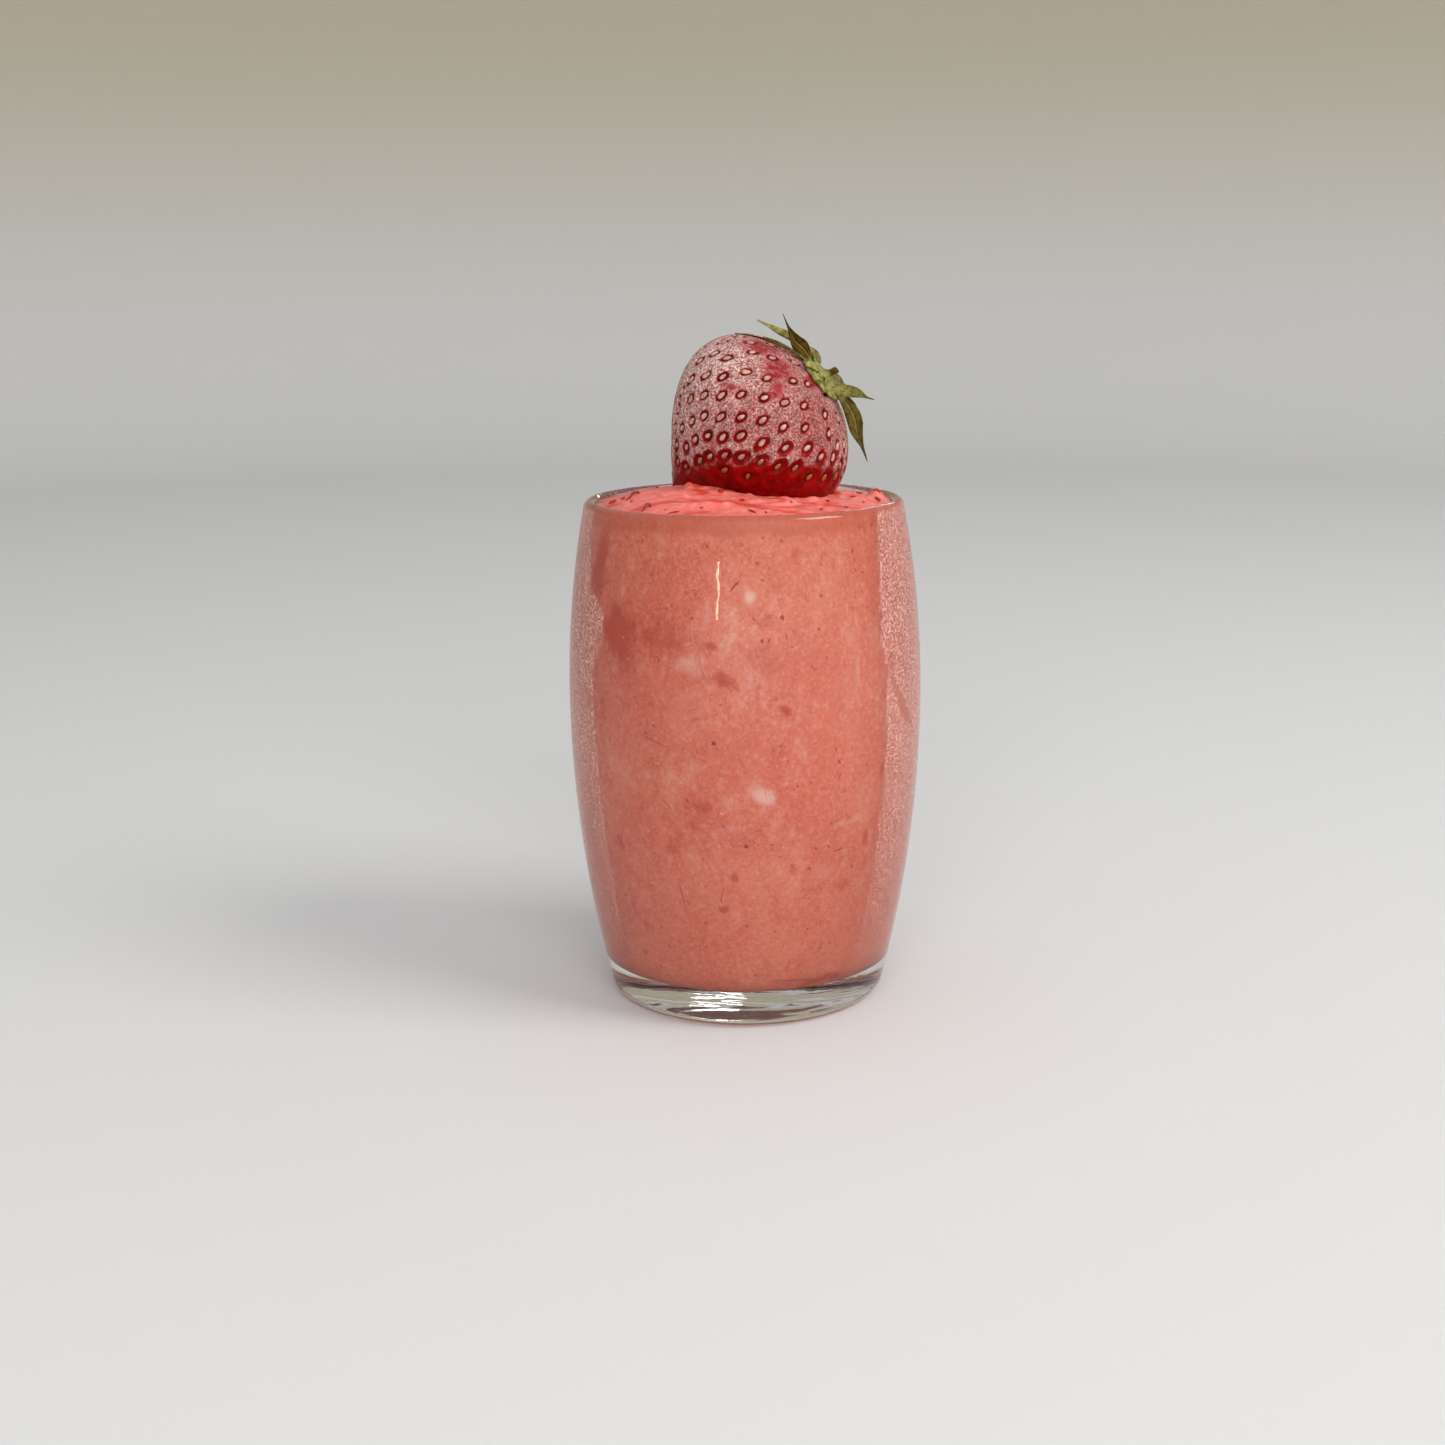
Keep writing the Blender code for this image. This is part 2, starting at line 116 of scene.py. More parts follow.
# Where its frost has thawed: centre x, y, half width, half height, turn in degrees, strength.
THAWED = [
    (763, 347, 26, 9, 10, 1.1), (777, 370, 18, 13, 20, 1.15), (777, 391, 10, 12, 50, 1.05),
    (729, 386.5, 13, 4.5, 5, 1.05), (713, 447, 3.5, 11, -12, 0.9), (705, 430, 9, 16, 0, 0.35),
    (813, 380, 8, 9, 0, 1.3), (752, 344, 14, 6, 0, 0.6), (690, 452, 9, 10, 0, 0.4),
    (790, 452, 20, 8, 0, 0.35), (758, 460, 16, 9, 0, 0.4),
]
# Where it is thinner and where it is thicker than elsewhere, the same way: partly its real cover
# and partly painted shade and light, thinner in the middle of the front and towards the lit right,
# thicker at the upper left and the right edge.
THIN_FROST_AND_SHADE = [(765, 425, 66, 44, 10, 1.0), (715, 440, 40, 22, 0, 0.55), (815, 425, 36, 62, 0, 1.25),
              (790, 385, 44, 40, 0, 0.95)]
THICK_FROST_AND_LIGHT = [(838, 386, 14, 34, -24, 1.3), (704, 364, 32, 18, -25, 0.5)]

# The calyx.
CROWN_RADIUS = 4.4 * MM
GAP = 0.3 * MM
SEPAL_START = 1.8 * MM
SEPAL_HEIGHT = 0.62 * MM
SEPAL_FOLD = 0.22
SEPAL_TURN_SHARE = 0.22
SEPAL_THICKNESS = 0.3 * MM
# Azimuth about the berry's axis, length, width, lift of the tip and the power by which it lifts,
# twist and bend, in degrees and millimetres, then how light its green is.
SEPALS = {
    "arched": (172.0, 13.8, 2.4, 1.7, 2.2, 45.0, 0.0, 0.95),
    "upright": (-160.0, 10.0, 2.6, 4.7, 2.6, -75.0, 0.0, 0.0),
    "long_left": (-150.0, 16.0, 0.75, 1.2, 1.8, -6.0, 0.0, 0.05),
    "short_top": (-176.0, 6.6, 2.6, 1.0, 1.8, 40.0, 0.0, 0.75),
    "front_left": (-124.0, 5.3, 3.1, 0.3, 1.8, 12.0, 0.4, 1.0),
    "front": (-94.0, 4.8, 3.1, 0.2, 1.8, 0.0, 0.4, 1.0),
    "front_right": (-62.0, 4.7, 2.8, 0.3, 1.8, -14.0, 0.2, 0.8),
    "pointing_out": (-14.0, 6.6, 3.4, 6.0, 1.5, 80.0, 0.0, 0.45),
    "hanging": (4.0, 14.1, 2.7, 2.8, 2.4, 75.0, 0.0, 0.1),
    "back_right": (36.0, 10.5, 3.6, 2.2, 2.0, -22.0, -0.8, 0.5),
    "back": (72.0, 9.5, 3.6, 2.4, 1.6, 14.0, 0.6, 0.4),
    "far_back": (104.0, 11.5, 3.6, 1.4, 2.0, -10.0, 0.5, 0.6),
    "far_left": (138.0, 10.5, 3.4, 2.0, 1.8, -16.0, -0.4, 0.5),
}

# The camera, solved from the glass's outline in the 1445 pixel photograph.
PHOTO_SIZE = 1445
FOCAL_PIXELS = 1950.0
PIXELS_PER_MM = 6.06  # about, on the glass
SENSOR = 36.0
CAMERA_PLACE = Vector((0.0, -0.3219, 0.12087))
CAMERA_PITCH = math.radians(13.122)
CAMERA_YAW = math.radians(-0.684)
CAMERA_ROLL = math.radians(0.594)

# Seen through the glass's front, in photo pixels: centre x, y, half width, half height, turn in
# degrees, strength. Red fruit is deeper in colour, pale patches are air and ice by the wall.
RED_PATCHES = [
    (601, 566, 15, 42, 4, 1.2), (620, 640, 26, 38, -8, 1.15), (660, 638, 46, 24, 12, 0.6),
    (713, 647, 9, 5, 10, 0.9), (722, 683, 15, 8, 35, 1.0), (715, 678, 6, 6, 0, 0.5),
    (762, 688, 9, 5, 30, 0.6), (784, 713, 8, 7, 20, 1.1), (798, 723, 18, 8, 35, 0.4),
    (765, 625, 16, 26, -12, 0.4), (768, 665, 30, 36, -20, 0.42), (776, 590, 12, 30, 0, 0.3),
    (795, 560, 12, 9, -20, 0.65), (780, 542, 6, 8, 0, 0.55), (760, 700, 46, 22, 14, 0.3),
    (706, 549, 7, 5, 0, 0.55), (613, 783, 8, 9, 0, 0.35), (703, 812, 9, 12, 10, 0.85),
    (697, 822, 24, 24, 0, 0.5), (690, 845, 34, 20, -5, 0.4), (671, 850, 7, 13, 8, 0.75),
    (734, 881, 5, 7, 10, 0.9), (724, 911, 6, 5, 0, 0.8), (623, 843, 7, 9, -20, 0.8),
    (637, 909, 5, 10, -15, 0.6), (649, 927, 6, 6, 0, 0.8), (797, 806, 9, 6, 0, 0.5),
    (863, 842, 5, 14, 4, 0.95), (848, 820, 8, 4, -10, 0.7), (881, 770, 5, 14, 4, 0.7),
    (792, 873, 6, 14, -25, 0.45), (812, 890, 18, 5, 16, 0.5), (840, 889, 16, 5, -22, 0.5),
    (862, 868, 5, 16, 25, 0.5), (893, 830, 5, 28, -14, 0.6), (889, 868, 5, 16, 16, 0.5),
    (822, 982, 24, 4, -7, 1.2), (700, 945, 36, 14, 0, 0.3), (800, 965, 60, 12, -6, 0.35),
    (688, 900, 14, 20, -20, 0.3), (640, 700, 30, 18, 20, 0.3), (650, 560, 40, 10, 4, 0.35),
    (840, 560, 26, 14, 0, 0.25), (812, 650, 12, 34, -6, 0.3), (838, 757, 7, 14, -10, 0.3),
    (604, 720, 9, 26, 0, 0.4), (655, 765, 28, 12, 25, 0.35), (768, 905, 14, 10, 0, 0.25),
]
PALE_PATCHES = [
    (751, 597, 9, 8, 20, 1.15), (748, 588, 4, 6, -20, 0.5), (762, 799, 19, 8, 50, 1.1),
    (752, 790, 8, 6, 30, 0.6), (688, 669, 18, 11, -8, 0.55), (703, 662, 5, 5, 0, 0.6),
    (622, 590, 5, 13, 8, 0.6), (628, 582, 3, 10, 0, 0.4), (709, 622, 9, 12, 0, 0.4),
    (846, 610, 2.5, 24, -12, 0.65), (855, 628, 2.5, 20, 4, 0.55), (858, 672, 5, 20, 10, 0.6),
    (866, 690, 3, 16, -14, 0.45), (814, 600, 26, 36, 8, 0.35), (842, 690, 36, 30, 0, 0.3),
    (684, 700, 24, 16, 0, 0.3), (693, 771, 13, 9, -10, 0.5), (647, 778, 11, 7, 30, 0.5),
    (730, 832, 12, 7, 20, 0.5), (722, 815, 3, 3, 0, 0.8), (633, 885, 4, 4, 0, 0.6),
    (700, 895, 22, 14, 0, 0.25), (823, 872, 24, 10, -15, 0.45), (858, 915, 3, 26, -12, 0.5),
    (846, 900, 2.5, 22, 10, 0.4), (868, 900, 2.5, 26, -6, 0.4), (640, 955, 26, 10, 10, 0.35),
    (792, 838, 3, 8, 5, 0.6), (836, 828, 12, 4, -15, 0.5), (740, 760, 40, 9, -15, 0.25),
    (735, 541, 150, 6, 0.5, 0.28), (606, 843, 2.5, 26, -12, 0.7), (614, 900, 2.5, 30, -12, 0.7),
    (597, 775, 2, 20, -8, 0.5), (745, 935, 26, 10, 0, 0.25), (800, 750, 20, 24, 30, 0.25),
]
# Dark shreds and specks of fruit seen through the glass: width in pixels, then the line's points.
SHREDS = [
    (3.0, (740, 583), (735, 587), (730, 594)), (1.2, (690, 593), (700, 592)),
    (1.5, (640, 735), (648, 741), (657, 744), (668, 750)), (4.4, (712, 744), (716, 747)),
    (2.0, (710, 741), (711, 739)), (1.8, (786, 636), (787, 643)), (3.2, (782, 617), (783, 623)),
    (2.8, (761, 641), (763, 645)), (2.4, (770, 641), (768, 645)), (2.2, (753, 620), (755, 623)),
    (2.4, (672, 606), (672, 610)), (1.6, (616, 614), (619, 619)), (2.2, (628, 641), (630, 645)),
    (2.0, (634, 626), (635, 630)), (1.8, (636, 704), (638, 707)), (2.6, (852, 550), (852, 556)),
    (2.2, (862, 573), (863, 576)), (2.4, (706, 547), (709, 551)), (2.2, (781, 541), (782, 545)),
    (2.6, (782, 747), (780, 750)), (2.2, (791, 648), (793, 650)), (2.2, (811, 668), (813, 670)),
    (2.8, (835, 750), (836, 753)), (3.0, (838, 762), (840, 766)), (1.6, (841, 774), (838, 782)),
    (2.6, (797, 787), (798, 790)), (2.2, (770, 846), (773, 848)), (4.8, (745, 847), (748, 850)),
    (1.6, (739, 848), (744, 848)), (1.3, (664, 802), (668, 807), (674, 814)),
    (2.4, (663, 802), (665, 804)), (1.8, (635, 901), (636, 908), (638, 916)),
    (1.5, (677, 882), (681, 889), (684, 902), (687, 914)),
    (1.4, (724, 889), (722, 898), (721, 906)),
    (2.0, (720, 907), (720, 912), (724, 915), (728, 912), (728, 908)),
    (2.4, (813, 849), (818, 852)), (2.2, (826, 847), (830, 850)), (2.4, (833, 853), (838, 852),
     (843, 849)), (2.2, (791, 866), (792, 869)), (2.6, (852, 866), (850, 871)),
    (1.3, (870, 892), (876, 888), (881, 893), (884, 889), (887, 892)),
    (2.4, (818, 948), (821, 950)),
    (1.5, (886, 660), (892, 655), (889, 664)), (2.2, (621, 700), (622, 704)),
    (2.0, (658, 792), (660, 795)), (1.8, (702, 862), (704, 860)), (2.2, (690, 949), (693, 951)),
    (2.0, (741, 958), (743, 960)), (1.8, (806, 930), (808, 932)), (1.4, (770, 983), (800, 982),
     (826, 979), (842, 973)), (2.0, (826, 980), (841, 975)), (1.6, (832, 514), (833, 521)),
    (1.4, (600, 560), (603, 572)), (1.3, (720, 680), (727, 688), (733, 695)),
]
# On the sorbet's top: flecks and curled skins of fruit, the same way.
SKINS = [
    (3.0, (609, 503.5), (612, 501.5), (616, 500)), (2.2, (621, 499.5), (625, 497)),
    (2.0, (625.5, 500), (629, 498), (631, 495.5)), (3.4, (631, 496), (633, 492.5), (637, 491.5),
     (639.5, 494)), (2.0, (642, 512), (644, 508.5)), (3.6, (644, 508.5), (645.5, 505), (648, 503.5),
     (650, 505), (649, 508)), (1.5, (623, 493), (624, 493)), (1.4, (630, 502), (633, 501.5)),
    (1.6, (668, 513.5), (673, 512.5), (679, 513)), (1.8, (665, 510), (666, 510.5)),
    (2.4, (718, 490), (722, 492)), (2.2, (741, 500), (744, 500.5)), (2.0, (748.5, 509.5),
     (752, 511), (756, 513.5)), (2.2, (757, 494), (758, 495)), (1.8, (765, 512.5), (767, 513)),
    (2.0, (826, 501.5), (830, 501)), (2.0, (845, 508), (848, 507.5)), (1.8, (820, 510), (823, 509)),
    (2.2, (850, 497), (856, 497)), (2.2, (856, 493.5), (863, 493.5)), (4.2, (875, 497),
     (878, 498.5), (880, 501.5)), (3.0, (873.5, 492), (877, 490), (881, 492)),
    (1.6, (700, 508), (703, 508.5)), (1.6, (790, 503), (793, 502.5)), (1.4, (655, 488), (659, 487)),
    (1.6, (603, 497), (607, 496)), (1.4, (862, 503), (865, 502)),
]
# Red places on top, partly red fruit and partly painted shade under the curl, in the creases and
# beside the berry, and wet spots, like the patches above.
RED_MARKS_AND_SHADE = [(701, 491.5, 12, 2.2, 10, 0.85), (702, 493, 6, 3, 0, 0.8), (721, 491, 4, 3, 0, 0.9),
           (684, 499, 16, 2, 4, 0.6), (716, 501.5, 10, 2.5, 8, 0.7), (742, 500.5, 5, 2, 0, 0.8),
           (795, 506.5, 34, 1.8, -3, 0.55), (812, 500, 18, 2, 6, 0.5), (660, 496, 5, 1.5, 0, 0.6),
           (836, 493, 6, 3, 0, 0.8), (762, 497.5, 9, 2, 0, 0.5), (881, 489, 6, 3, 0, 0.9),
           (853, 495, 10, 2, 0, 0.5), (612, 502, 7, 3, 0, 0.5), (634, 494, 7, 3, 0, 0.5),
           (604, 494, 9, 3, 0, 0.35), (672, 510, 12, 2, 0, 0.4), (866, 506, 10, 2, 0, 0.4)]
WET = [(742, 497, 7, 3, 0, 1.0), (774, 497, 8, 3, 0, 1.0), (690, 482, 7, 3, 0, 0.8),
       (648, 506, 4, 3, 0, 0.8), (838, 506, 6, 2, 0, 0.7), (878, 493, 6, 4, 0, 0.7)]
# Creases in its top, in photo pixels: two ends, width and depth in millimetres.
CREASES = [
    (672, 499, 696, 500, 0.55, 0.4), (762, 508, 826, 505, 0.7, 0.45),
    (709, 501, 724, 503, 0.5, 0.4), (798, 499, 828, 502, 0.6, 0.35),
    (640, 496, 664, 496, 0.6, 0.3), (690, 509, 742, 508, 0.7, 0.3),
    (745, 503, 768, 502, 0.6, 0.35), (836, 499, 868, 497, 0.8, 0.3),
    (604, 506, 630, 507, 0.7, 0.25), (776, 513, 812, 512, 0.6, 0.25),
    (846, 492, 876, 491, 0.8, 0.3),
]
# Curls and lumps on its top, and one dent: height, place x and y, length and width in
# millimetres, turn in degrees.
LUMPS = [
    (0.95, -6.6, -8.2, 3.0, 0.9, -16.0), (1.35, -8.9, -7.8, 1.7, 1.0, -14.0),
    (-0.35, -12.0, -7.5, 1.4, 1.6, 0.0), (0.45, -2.5, -8.8, 3.4, 1.0, -12.0),
    (0.5, 1.2, -10.2, 1.3, 0.9, 0.0), (0.5, 6.2, -10.2, 2.4, 0.8, 4.0),
    (0.35, 11.0, -8.6, 1.8, 0.8, 20.0), (1.6, 22.0, 0.6, 2.5, 1.8, 70.0),
    (0.5, -16.0, -3.0, 2.6, 1.2, 10.0), (0.4, 14.0, -11.0, 3.6, 1.0, -8.0),
]
# The mist on the glass: its azimuth behind, and its edges in front from the rim down, in photo
# pixels.
MIST_ENDS_BEHIND = math.radians(148.0)
MIST_LEFT = [(592, 520), (590, 560), (592, 590), (604, 612), (602, 640), (594, 660), (593, 700),
             (598, 760), (602, 800), (612, 870), (622, 930), (630, 970)]
MIST_RIGHT = [(878, 520), (880, 595), (882, 650), (889, 667), (887, 700), (885, 779), (878, 830),
              (868, 900), (856, 950), (850, 970)]
# Where the mist has been wiped, in photo pixels like the patches above.
WIPED = [(901, 701, 3.2, 30, -20, 1.0), (907, 716, 4.0, 13, -17, 1.0), (590, 700, 3, 6, 20, 0.8),
         (586, 690, 4, 3, 0, 0.6), (598, 640, 3, 10, 10, 0.4), (893, 665, 5, 5, 0, 0.7)]


class Wire:
    """An output socket of a material, with arithmetic that adds Math nodes."""

    def __init__(self, paint, socket):
        self.paint = paint
        self.socket = socket

    def math(self, operation, other=0.0, swap=False):
        pair = (other, self) if swap else (self, other)
        return self.paint.node("ShaderNodeMath", {"operation": operation}, {0: pair[0], 1: pair[1]})

    def __add__(self, other):
        return self.math("ADD", other)

    __radd__ = __add__

    def __mul__(self, other):
        return self.math("MULTIPLY", other)

    __rmul__ = __mul__

    def __sub__(self, other):
        return self.math("SUBTRACT", other)

    def __rsub__(self, other):
        return self.math("SUBTRACT", other, swap=True)

    def clamp(self):
        return self.math("MINIMUM", 1.0).math("MAXIMUM", 0.0)

    def step(self, low, high):
        """Smooth rise from 0 at low to 1 at high."""
        settings = {"interpolation_type": "SMOOTHSTEP"}
        sockets = {"Value": self, "From Min": low, "From Max": high}
        return self.paint.node("ShaderNodeMapRange", settings, sockets)


class Paint:
    """A material under construction."""

    def __init__(self, name):
        self.material = bpy.data.materials.new(name)
        self.material.use_nodes = True
        self.tree = self.material.node_tree
        self.tree.nodes.clear()

    def node(self, kind, settings=None, sockets=None, out=0):
        """Add a node, set it, fill its sockets by name or number and return one output."""
        made = self.tree.nodes.new(kind)
        for key, value in (settings or {}).items():
            setattr(made, key, value)
        for key, value in (sockets or {}).items():
            if isinstance(value, Wire):
                self.tree.links.new(value.socket, made.inputs[key])
            else:
                made.inputs[key].default_value = value
        return Wire(self, made.outputs[out])

    def place(self):
        return self.node("ShaderNodeTexCoord", out="Object")

    def attribute(self, name):
        return self.node("ShaderNodeAttribute", {"attribute_name": name}, out="Fac")

    def noise(self, size, detail=3.0, roughness=0.55, distortion=0.0, vector=None):
        """Noise from 0 to 1 whose lumps are about size metres across."""
        sockets = {"Vector": vector or self.place(), "Scale": 1.0 / size, "Detail": detail,
                   "Roughness": roughness, "Distortion": distortion}
        return self.node("ShaderNodeTexNoise", None, sockets)

    def cells(self, size):
        """Distance to the nearest of scattered points about size metres apart, in their spacing."""
        sockets = {"Vector": self.place(), "Scale": 1.0 / size}
        return self.node("ShaderNodeTexVoronoi", None, sockets, out="Distance")

    def stretched(self, scale, turn=(0.0, 0.0, 0.0)):
        sockets = {"Vector": self.place(), "Scale": scale, "Rotation": turn}
        return self.node("ShaderNodeMapping", None, sockets)

    def blend(self, first, second, amount):
        """Colour between first and second."""
        sockets = {0: amount, 6: first, 7: second}
        return self.node("ShaderNodeMix", {"data_type": "RGBA"}, sockets, out=2)

    def coats(self, base, layers):
        """Colour of base under layers, each a colour and how much of it covers."""
        for colour, amount in layers:
            base = self.blend(base, colour, amount)
        return base

    def bump(self, height, distance, strength):
        sockets = {"Height": height, "Distance": distance, "Strength": strength}
        return self.node("ShaderNodeBump", None, sockets)

    def principled(self, **values):
        """Sockets are named in small letters with underscores, such as base_color."""
        sockets = {key.replace("_", " ").title().replace("Ior", "IOR"): value
                   for key, value in values.items()}
        return self.node("ShaderNodeBsdfPrincipled", None, sockets)

    def mixed(self, first, second, amount):
        return self.node("ShaderNodeMixShader", None, {0: amount, 1: first, 2: second})

    def finish(self, shader):
        output = self.tree.nodes.new("ShaderNodeOutputMaterial")
        self.tree.links.new(shader.socket, output.inputs["Surface"])
        return self.material


def rgb(red, green, blue):
    return (red, green, blue, 1.0)


def skin(name, rows, first_pole=True, last_pole=True, capped=False):
    """Mesh over a grid of points (rows, columns, 3), closed round its columns.

    A pole's row becomes one point with a fan of triangles, and a mesh that is capped has a face
    across its first and last row instead. Faces point outwards where the columns run
    anticlockwise seen from above and the rows run upwards on the outer side.
    """
    count_rows, columns = rows.shape[:2]
    grid = np.arange(count_rows * columns).reshape(count_rows, columns)
    points = rows.reshape(-1, 3)
    following = np.roll(grid, -1, axis=1)
    start = 1 if first_pole else 0
    end = count_rows - 1 if last_pole else count_rows
    below, above = slice(start, end - 1), slice(start + 1, end)
    quads = np.stack([grid[below], following[below], following[above], grid[above]], -1)
    faces = quads.reshape(-1, 4).tolist()
    if first_pole:
        faces += np.stack([np.full(columns, grid[0, 0]), following[1], grid[1]], -1).tolist()
    if last_pole:
        faces += np.stack([np.full(columns, grid[-1, 0]), grid[-2], following[-2]], -1).tolist()
    if capped:
        faces += [grid[0, ::-1].tolist(), grid[-1].tolist()]
    used = np.zeros(len(points), bool)
    used[grid[start:end].ravel()] = True
    used[grid[0, 0]] |= first_pole
    used[grid[-1, 0]] |= last_pole
    renumber = np.cumsum(used) - 1
    faces = [[int(renumber[corner]) for corner in face] for face in faces]
    mesh = bpy.data.meshes.new(name)
    mesh.from_pydata(points[used].tolist(), [], faces)
    mesh.shade_smooth()
    mesh.update()
    return mesh


def bent_wave(across, length, along, bend_length, bend=2.0):
    """A wave of values from -1 to 1 whose crests are bent by a second one; both lengths are in
    millimetres for a radian."""
    return np.sin(across / (length * MM) + bend * np.sin(along / (bend_length * MM)))


def put_attribute(mesh, name, values):
    layer = mesh.attributes.new(name, "FLOAT", "POINT")
    layer.data.foreach_set("value", np.asarray(values, np.float32).ravel())


def mesh_points(mesh):
    flat = np.empty(len(mesh.vertices) * 3, np.float32)
    mesh.vertices.foreach_get("co", flat)
    return flat.reshape(-1, 3).astype(float)


def piece(name, mesh, material, replaces=None):
    """A finished piece at the origin that rides with the part."""
    obj = bpy.data.objects.new(name, mesh)
    bpy.context.scene.collection.objects.link(obj)
    mesh.materials.append(material)
    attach(obj, "root")
    if replaces:
        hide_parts(replaces)


def camera_axes():
    """Forward, right and down directions of the camera, rolled."""
    forward = Vector((math.sin(CAMERA_YAW) * math.cos(CAMERA_PITCH),
                      math.cos(CAMERA_YAW) * math.cos(CAMERA_PITCH), -math.sin(CAMERA_PITCH)))
    right = Vector((math.cos(CAMERA_YAW), -math.sin(CAMERA_YAW), 0.0))
    down = forward.cross(right)
    turned_right = math.cos(CAMERA_ROLL) * right + math.sin(CAMERA_ROLL) * down
    turned_down = -math.sin(CAMERA_ROLL) * right + math.cos(CAMERA_ROLL) * down
    return forward, turned_right, turned_down


def sight(pixel_x, pixel_y):
    """Direction of the line of sight through a photo pixel."""
    forward, right, down = camera_axes()
    half = PHOTO_SIZE / 2
    line = forward * FOCAL_PIXELS + right * (pixel_x - half) + down * (pixel_y - half)
    return line.normalized()


def side_radius(height, inset=0.0):
    """Radius of the glass's side at heights, or of a surface that lies inset inside it."""
    height = np.asarray(height, float)
    arc = np.where(height < BELLY_HEIGHT, LOWER_SIDE_ARC, UPPER_SIDE_ARC)
    return BELLY_RADIUS - arc + np.sqrt((arc - inset) ** 2 - (height - BELLY_HEIGHT) ** 2)


def on_glass(pixel_x, pixel_y):
    """Azimuth from the camera's side, + to the right, and height where the sight line through a
    photo pixel meets the glass, and the line's direction over the plan."""
    direction = sight(pixel_x, pixel_y)
    run = math.hypot(direction.x, direction.y)
    ahead = Vector((direction.x, direction.y)) / run
    eye = Vector((CAMERA_PLACE.x, CAMERA_PLACE.y))
    middle = -eye.dot(ahead)
    miss = (eye + ahead * middle).length
    height = BELLY_HEIGHT
    for _ in range(6):
        radius = float(side_radius(min(max(height, 0.0), GLASS_HEIGHT)))
        reach = middle - math.sqrt(max(radius ** 2 - miss ** 2, 0.0))
        height = CAMERA_PLACE.z + direction.z / run * reach
    hit = eye + ahead * reach
    return math.atan2(hit.x, -hit.y), height, ahead


def through_glass(pixel_x, pixel_y):
    """Azimuth and height on the sorbet's side of what a photo pixel shows, bent by the glass.

    The sight line enters the wall at one angle to its normal, runs on at that angle's sine divided
    by the index, and meets the sorbet where the sine has grown by the ratio of the radii.
    """
    azimuth, height, ahead = on_glass(pixel_x, pixel_y)
    radius = float(side_radius(height))
    inner = radius - WALL
    outside = azimuth + math.atan2(ahead.x, ahead.y)
    sine = math.sin(outside) / GLASS_INDEX
    turn = math.asin(max(-1.0, min(1.0, sine * radius / inner))) - math.asin(sine)
    return azimuth + turn, height


def corner_arc(floor_height, rounding, inset, count):
    """Arc from the flat floor up to the side, tangent to both."""
    centre_height = floor_height + rounding
    reach = LOWER_SIDE_ARC - inset - rounding
    arc_centre = BELLY_RADIUS - LOWER_SIDE_ARC
    centre_radius = arc_centre + math.sqrt(reach ** 2 - (centre_height - BELLY_HEIGHT) ** 2)
    end = math.atan2(centre_height - BELLY_HEIGHT, centre_radius - arc_centre)
    angles = np.linspace(-math.pi / 2, end, count)
    return np.stack([centre_radius + rounding * np.cos(angles),
                     centre_height + rounding * np.sin(angles)], -1)


def cup_profile(inset, floor_height, rounding, top, floor_rows, corner_rows, side_rows):
    """Radius and height from the axis along a floor, round its corner and up the side."""
    corner = corner_arc(floor_height, rounding, inset, corner_rows)
    floor_radii = np.linspace(0.0, corner[0, 0], floor_rows)[:-1]
    floor = np.stack([floor_radii, np.full(len(floor_radii), floor_height)], -1)
    heights = np.linspace(corner[-1, 1], top, side_rows)[1:]
    side = np.stack([side_radius(heights, inset), heights], -1)
    return np.concatenate([floor, corner, side])


def turned(profile, columns):
    """Rows of points: a profile of radius and height turned about the glass's axis."""
    angles = np.linspace(0.0, 2.0 * math.pi, columns, endpoint=False)
    radius = profile[:, 0, None]
    height = np.repeat(profile[:, 1, None], columns, axis=1)
    return np.stack([radius * np.cos(angles), radius * np.sin(angles), height], -1)


def glass_profile():
    """Up the outside from the foot's middle, over the rounded lip and down the inside."""
    lip = WALL / 2
    lip_height = GLASS_HEIGHT - lip
    floor_rows = 24
    outside = cup_profile(0.0, 0.0, HEEL_ROUNDING, lip_height, floor_rows, 9, 116)
    floor = outside[:floor_rows]
    floor[:, 1] += FOOT_RECESS * np.clip(1.0 - (floor[:, 0] / FOOT_RECESS_RADIUS) ** 2, 0.0, 1.0)
    inside = cup_profile(WALL, FLOOR, INNER_CORNER, lip_height, 6, 9, 60)
    middle = (outside[-1, 0] + inside[-1, 0]) / 2
    half = (outside[-1, 0] - inside[-1, 0]) / 2
    angles = np.linspace(0.0, math.pi, 15)[1:-1]
    rim = np.stack([middle + half * np.cos(angles), lip_height + lip * np.sin(angles)], -1)
    return np.concatenate([outside, rim, inside[::-1]])


def mist_edge(corners, height):
    """Azimuth, without its sign, of one of the mist's edges at heights."""
    azimuths, heights = np.array([on_glass(x, y)[:2] for x, y in corners])[::-1].T
    return np.interp(height, heights, np.abs(azimuths))


def mist_on(points):
    """Distance past the mist's measured edge on the glass's outside, in millimetres, and how
    thick the mist is there, from 0 to 1: it thins towards the foot, the rim and the back."""
    azimuth = np.arctan2(points[:, 0], -points[:, 1])
    radius = np.hypot(points[:, 0], points[:, 1])
    height = points[:, 2]
    outer = radius > side_radius(np.clip(height, 0.0, GLASS_HEIGHT)) - 0.3 * MM
    left, right = mist_edge(MIST_LEFT, height), mist_edge(MIST_RIGHT, height)
    past = (np.abs(azimuth) - np.where(azimuth < 0.0, left, right)) * radius / MM
    behind = np.clip((MIST_ENDS_BEHIND - np.abs(azimuth)) / 0.25, 0.0, 1.0)
    low = np.clip((height - 5.0 * MM) / (46.0 * MM), 0.0, 1.0) ** 0.8
    high = np.clip((GLASS_HEIGHT - 0.1 * MM - height) / (1.0 * MM), 0.0, 1.0)
    return np.clip(past, -9.0, 9.0), behind * low * high * outer


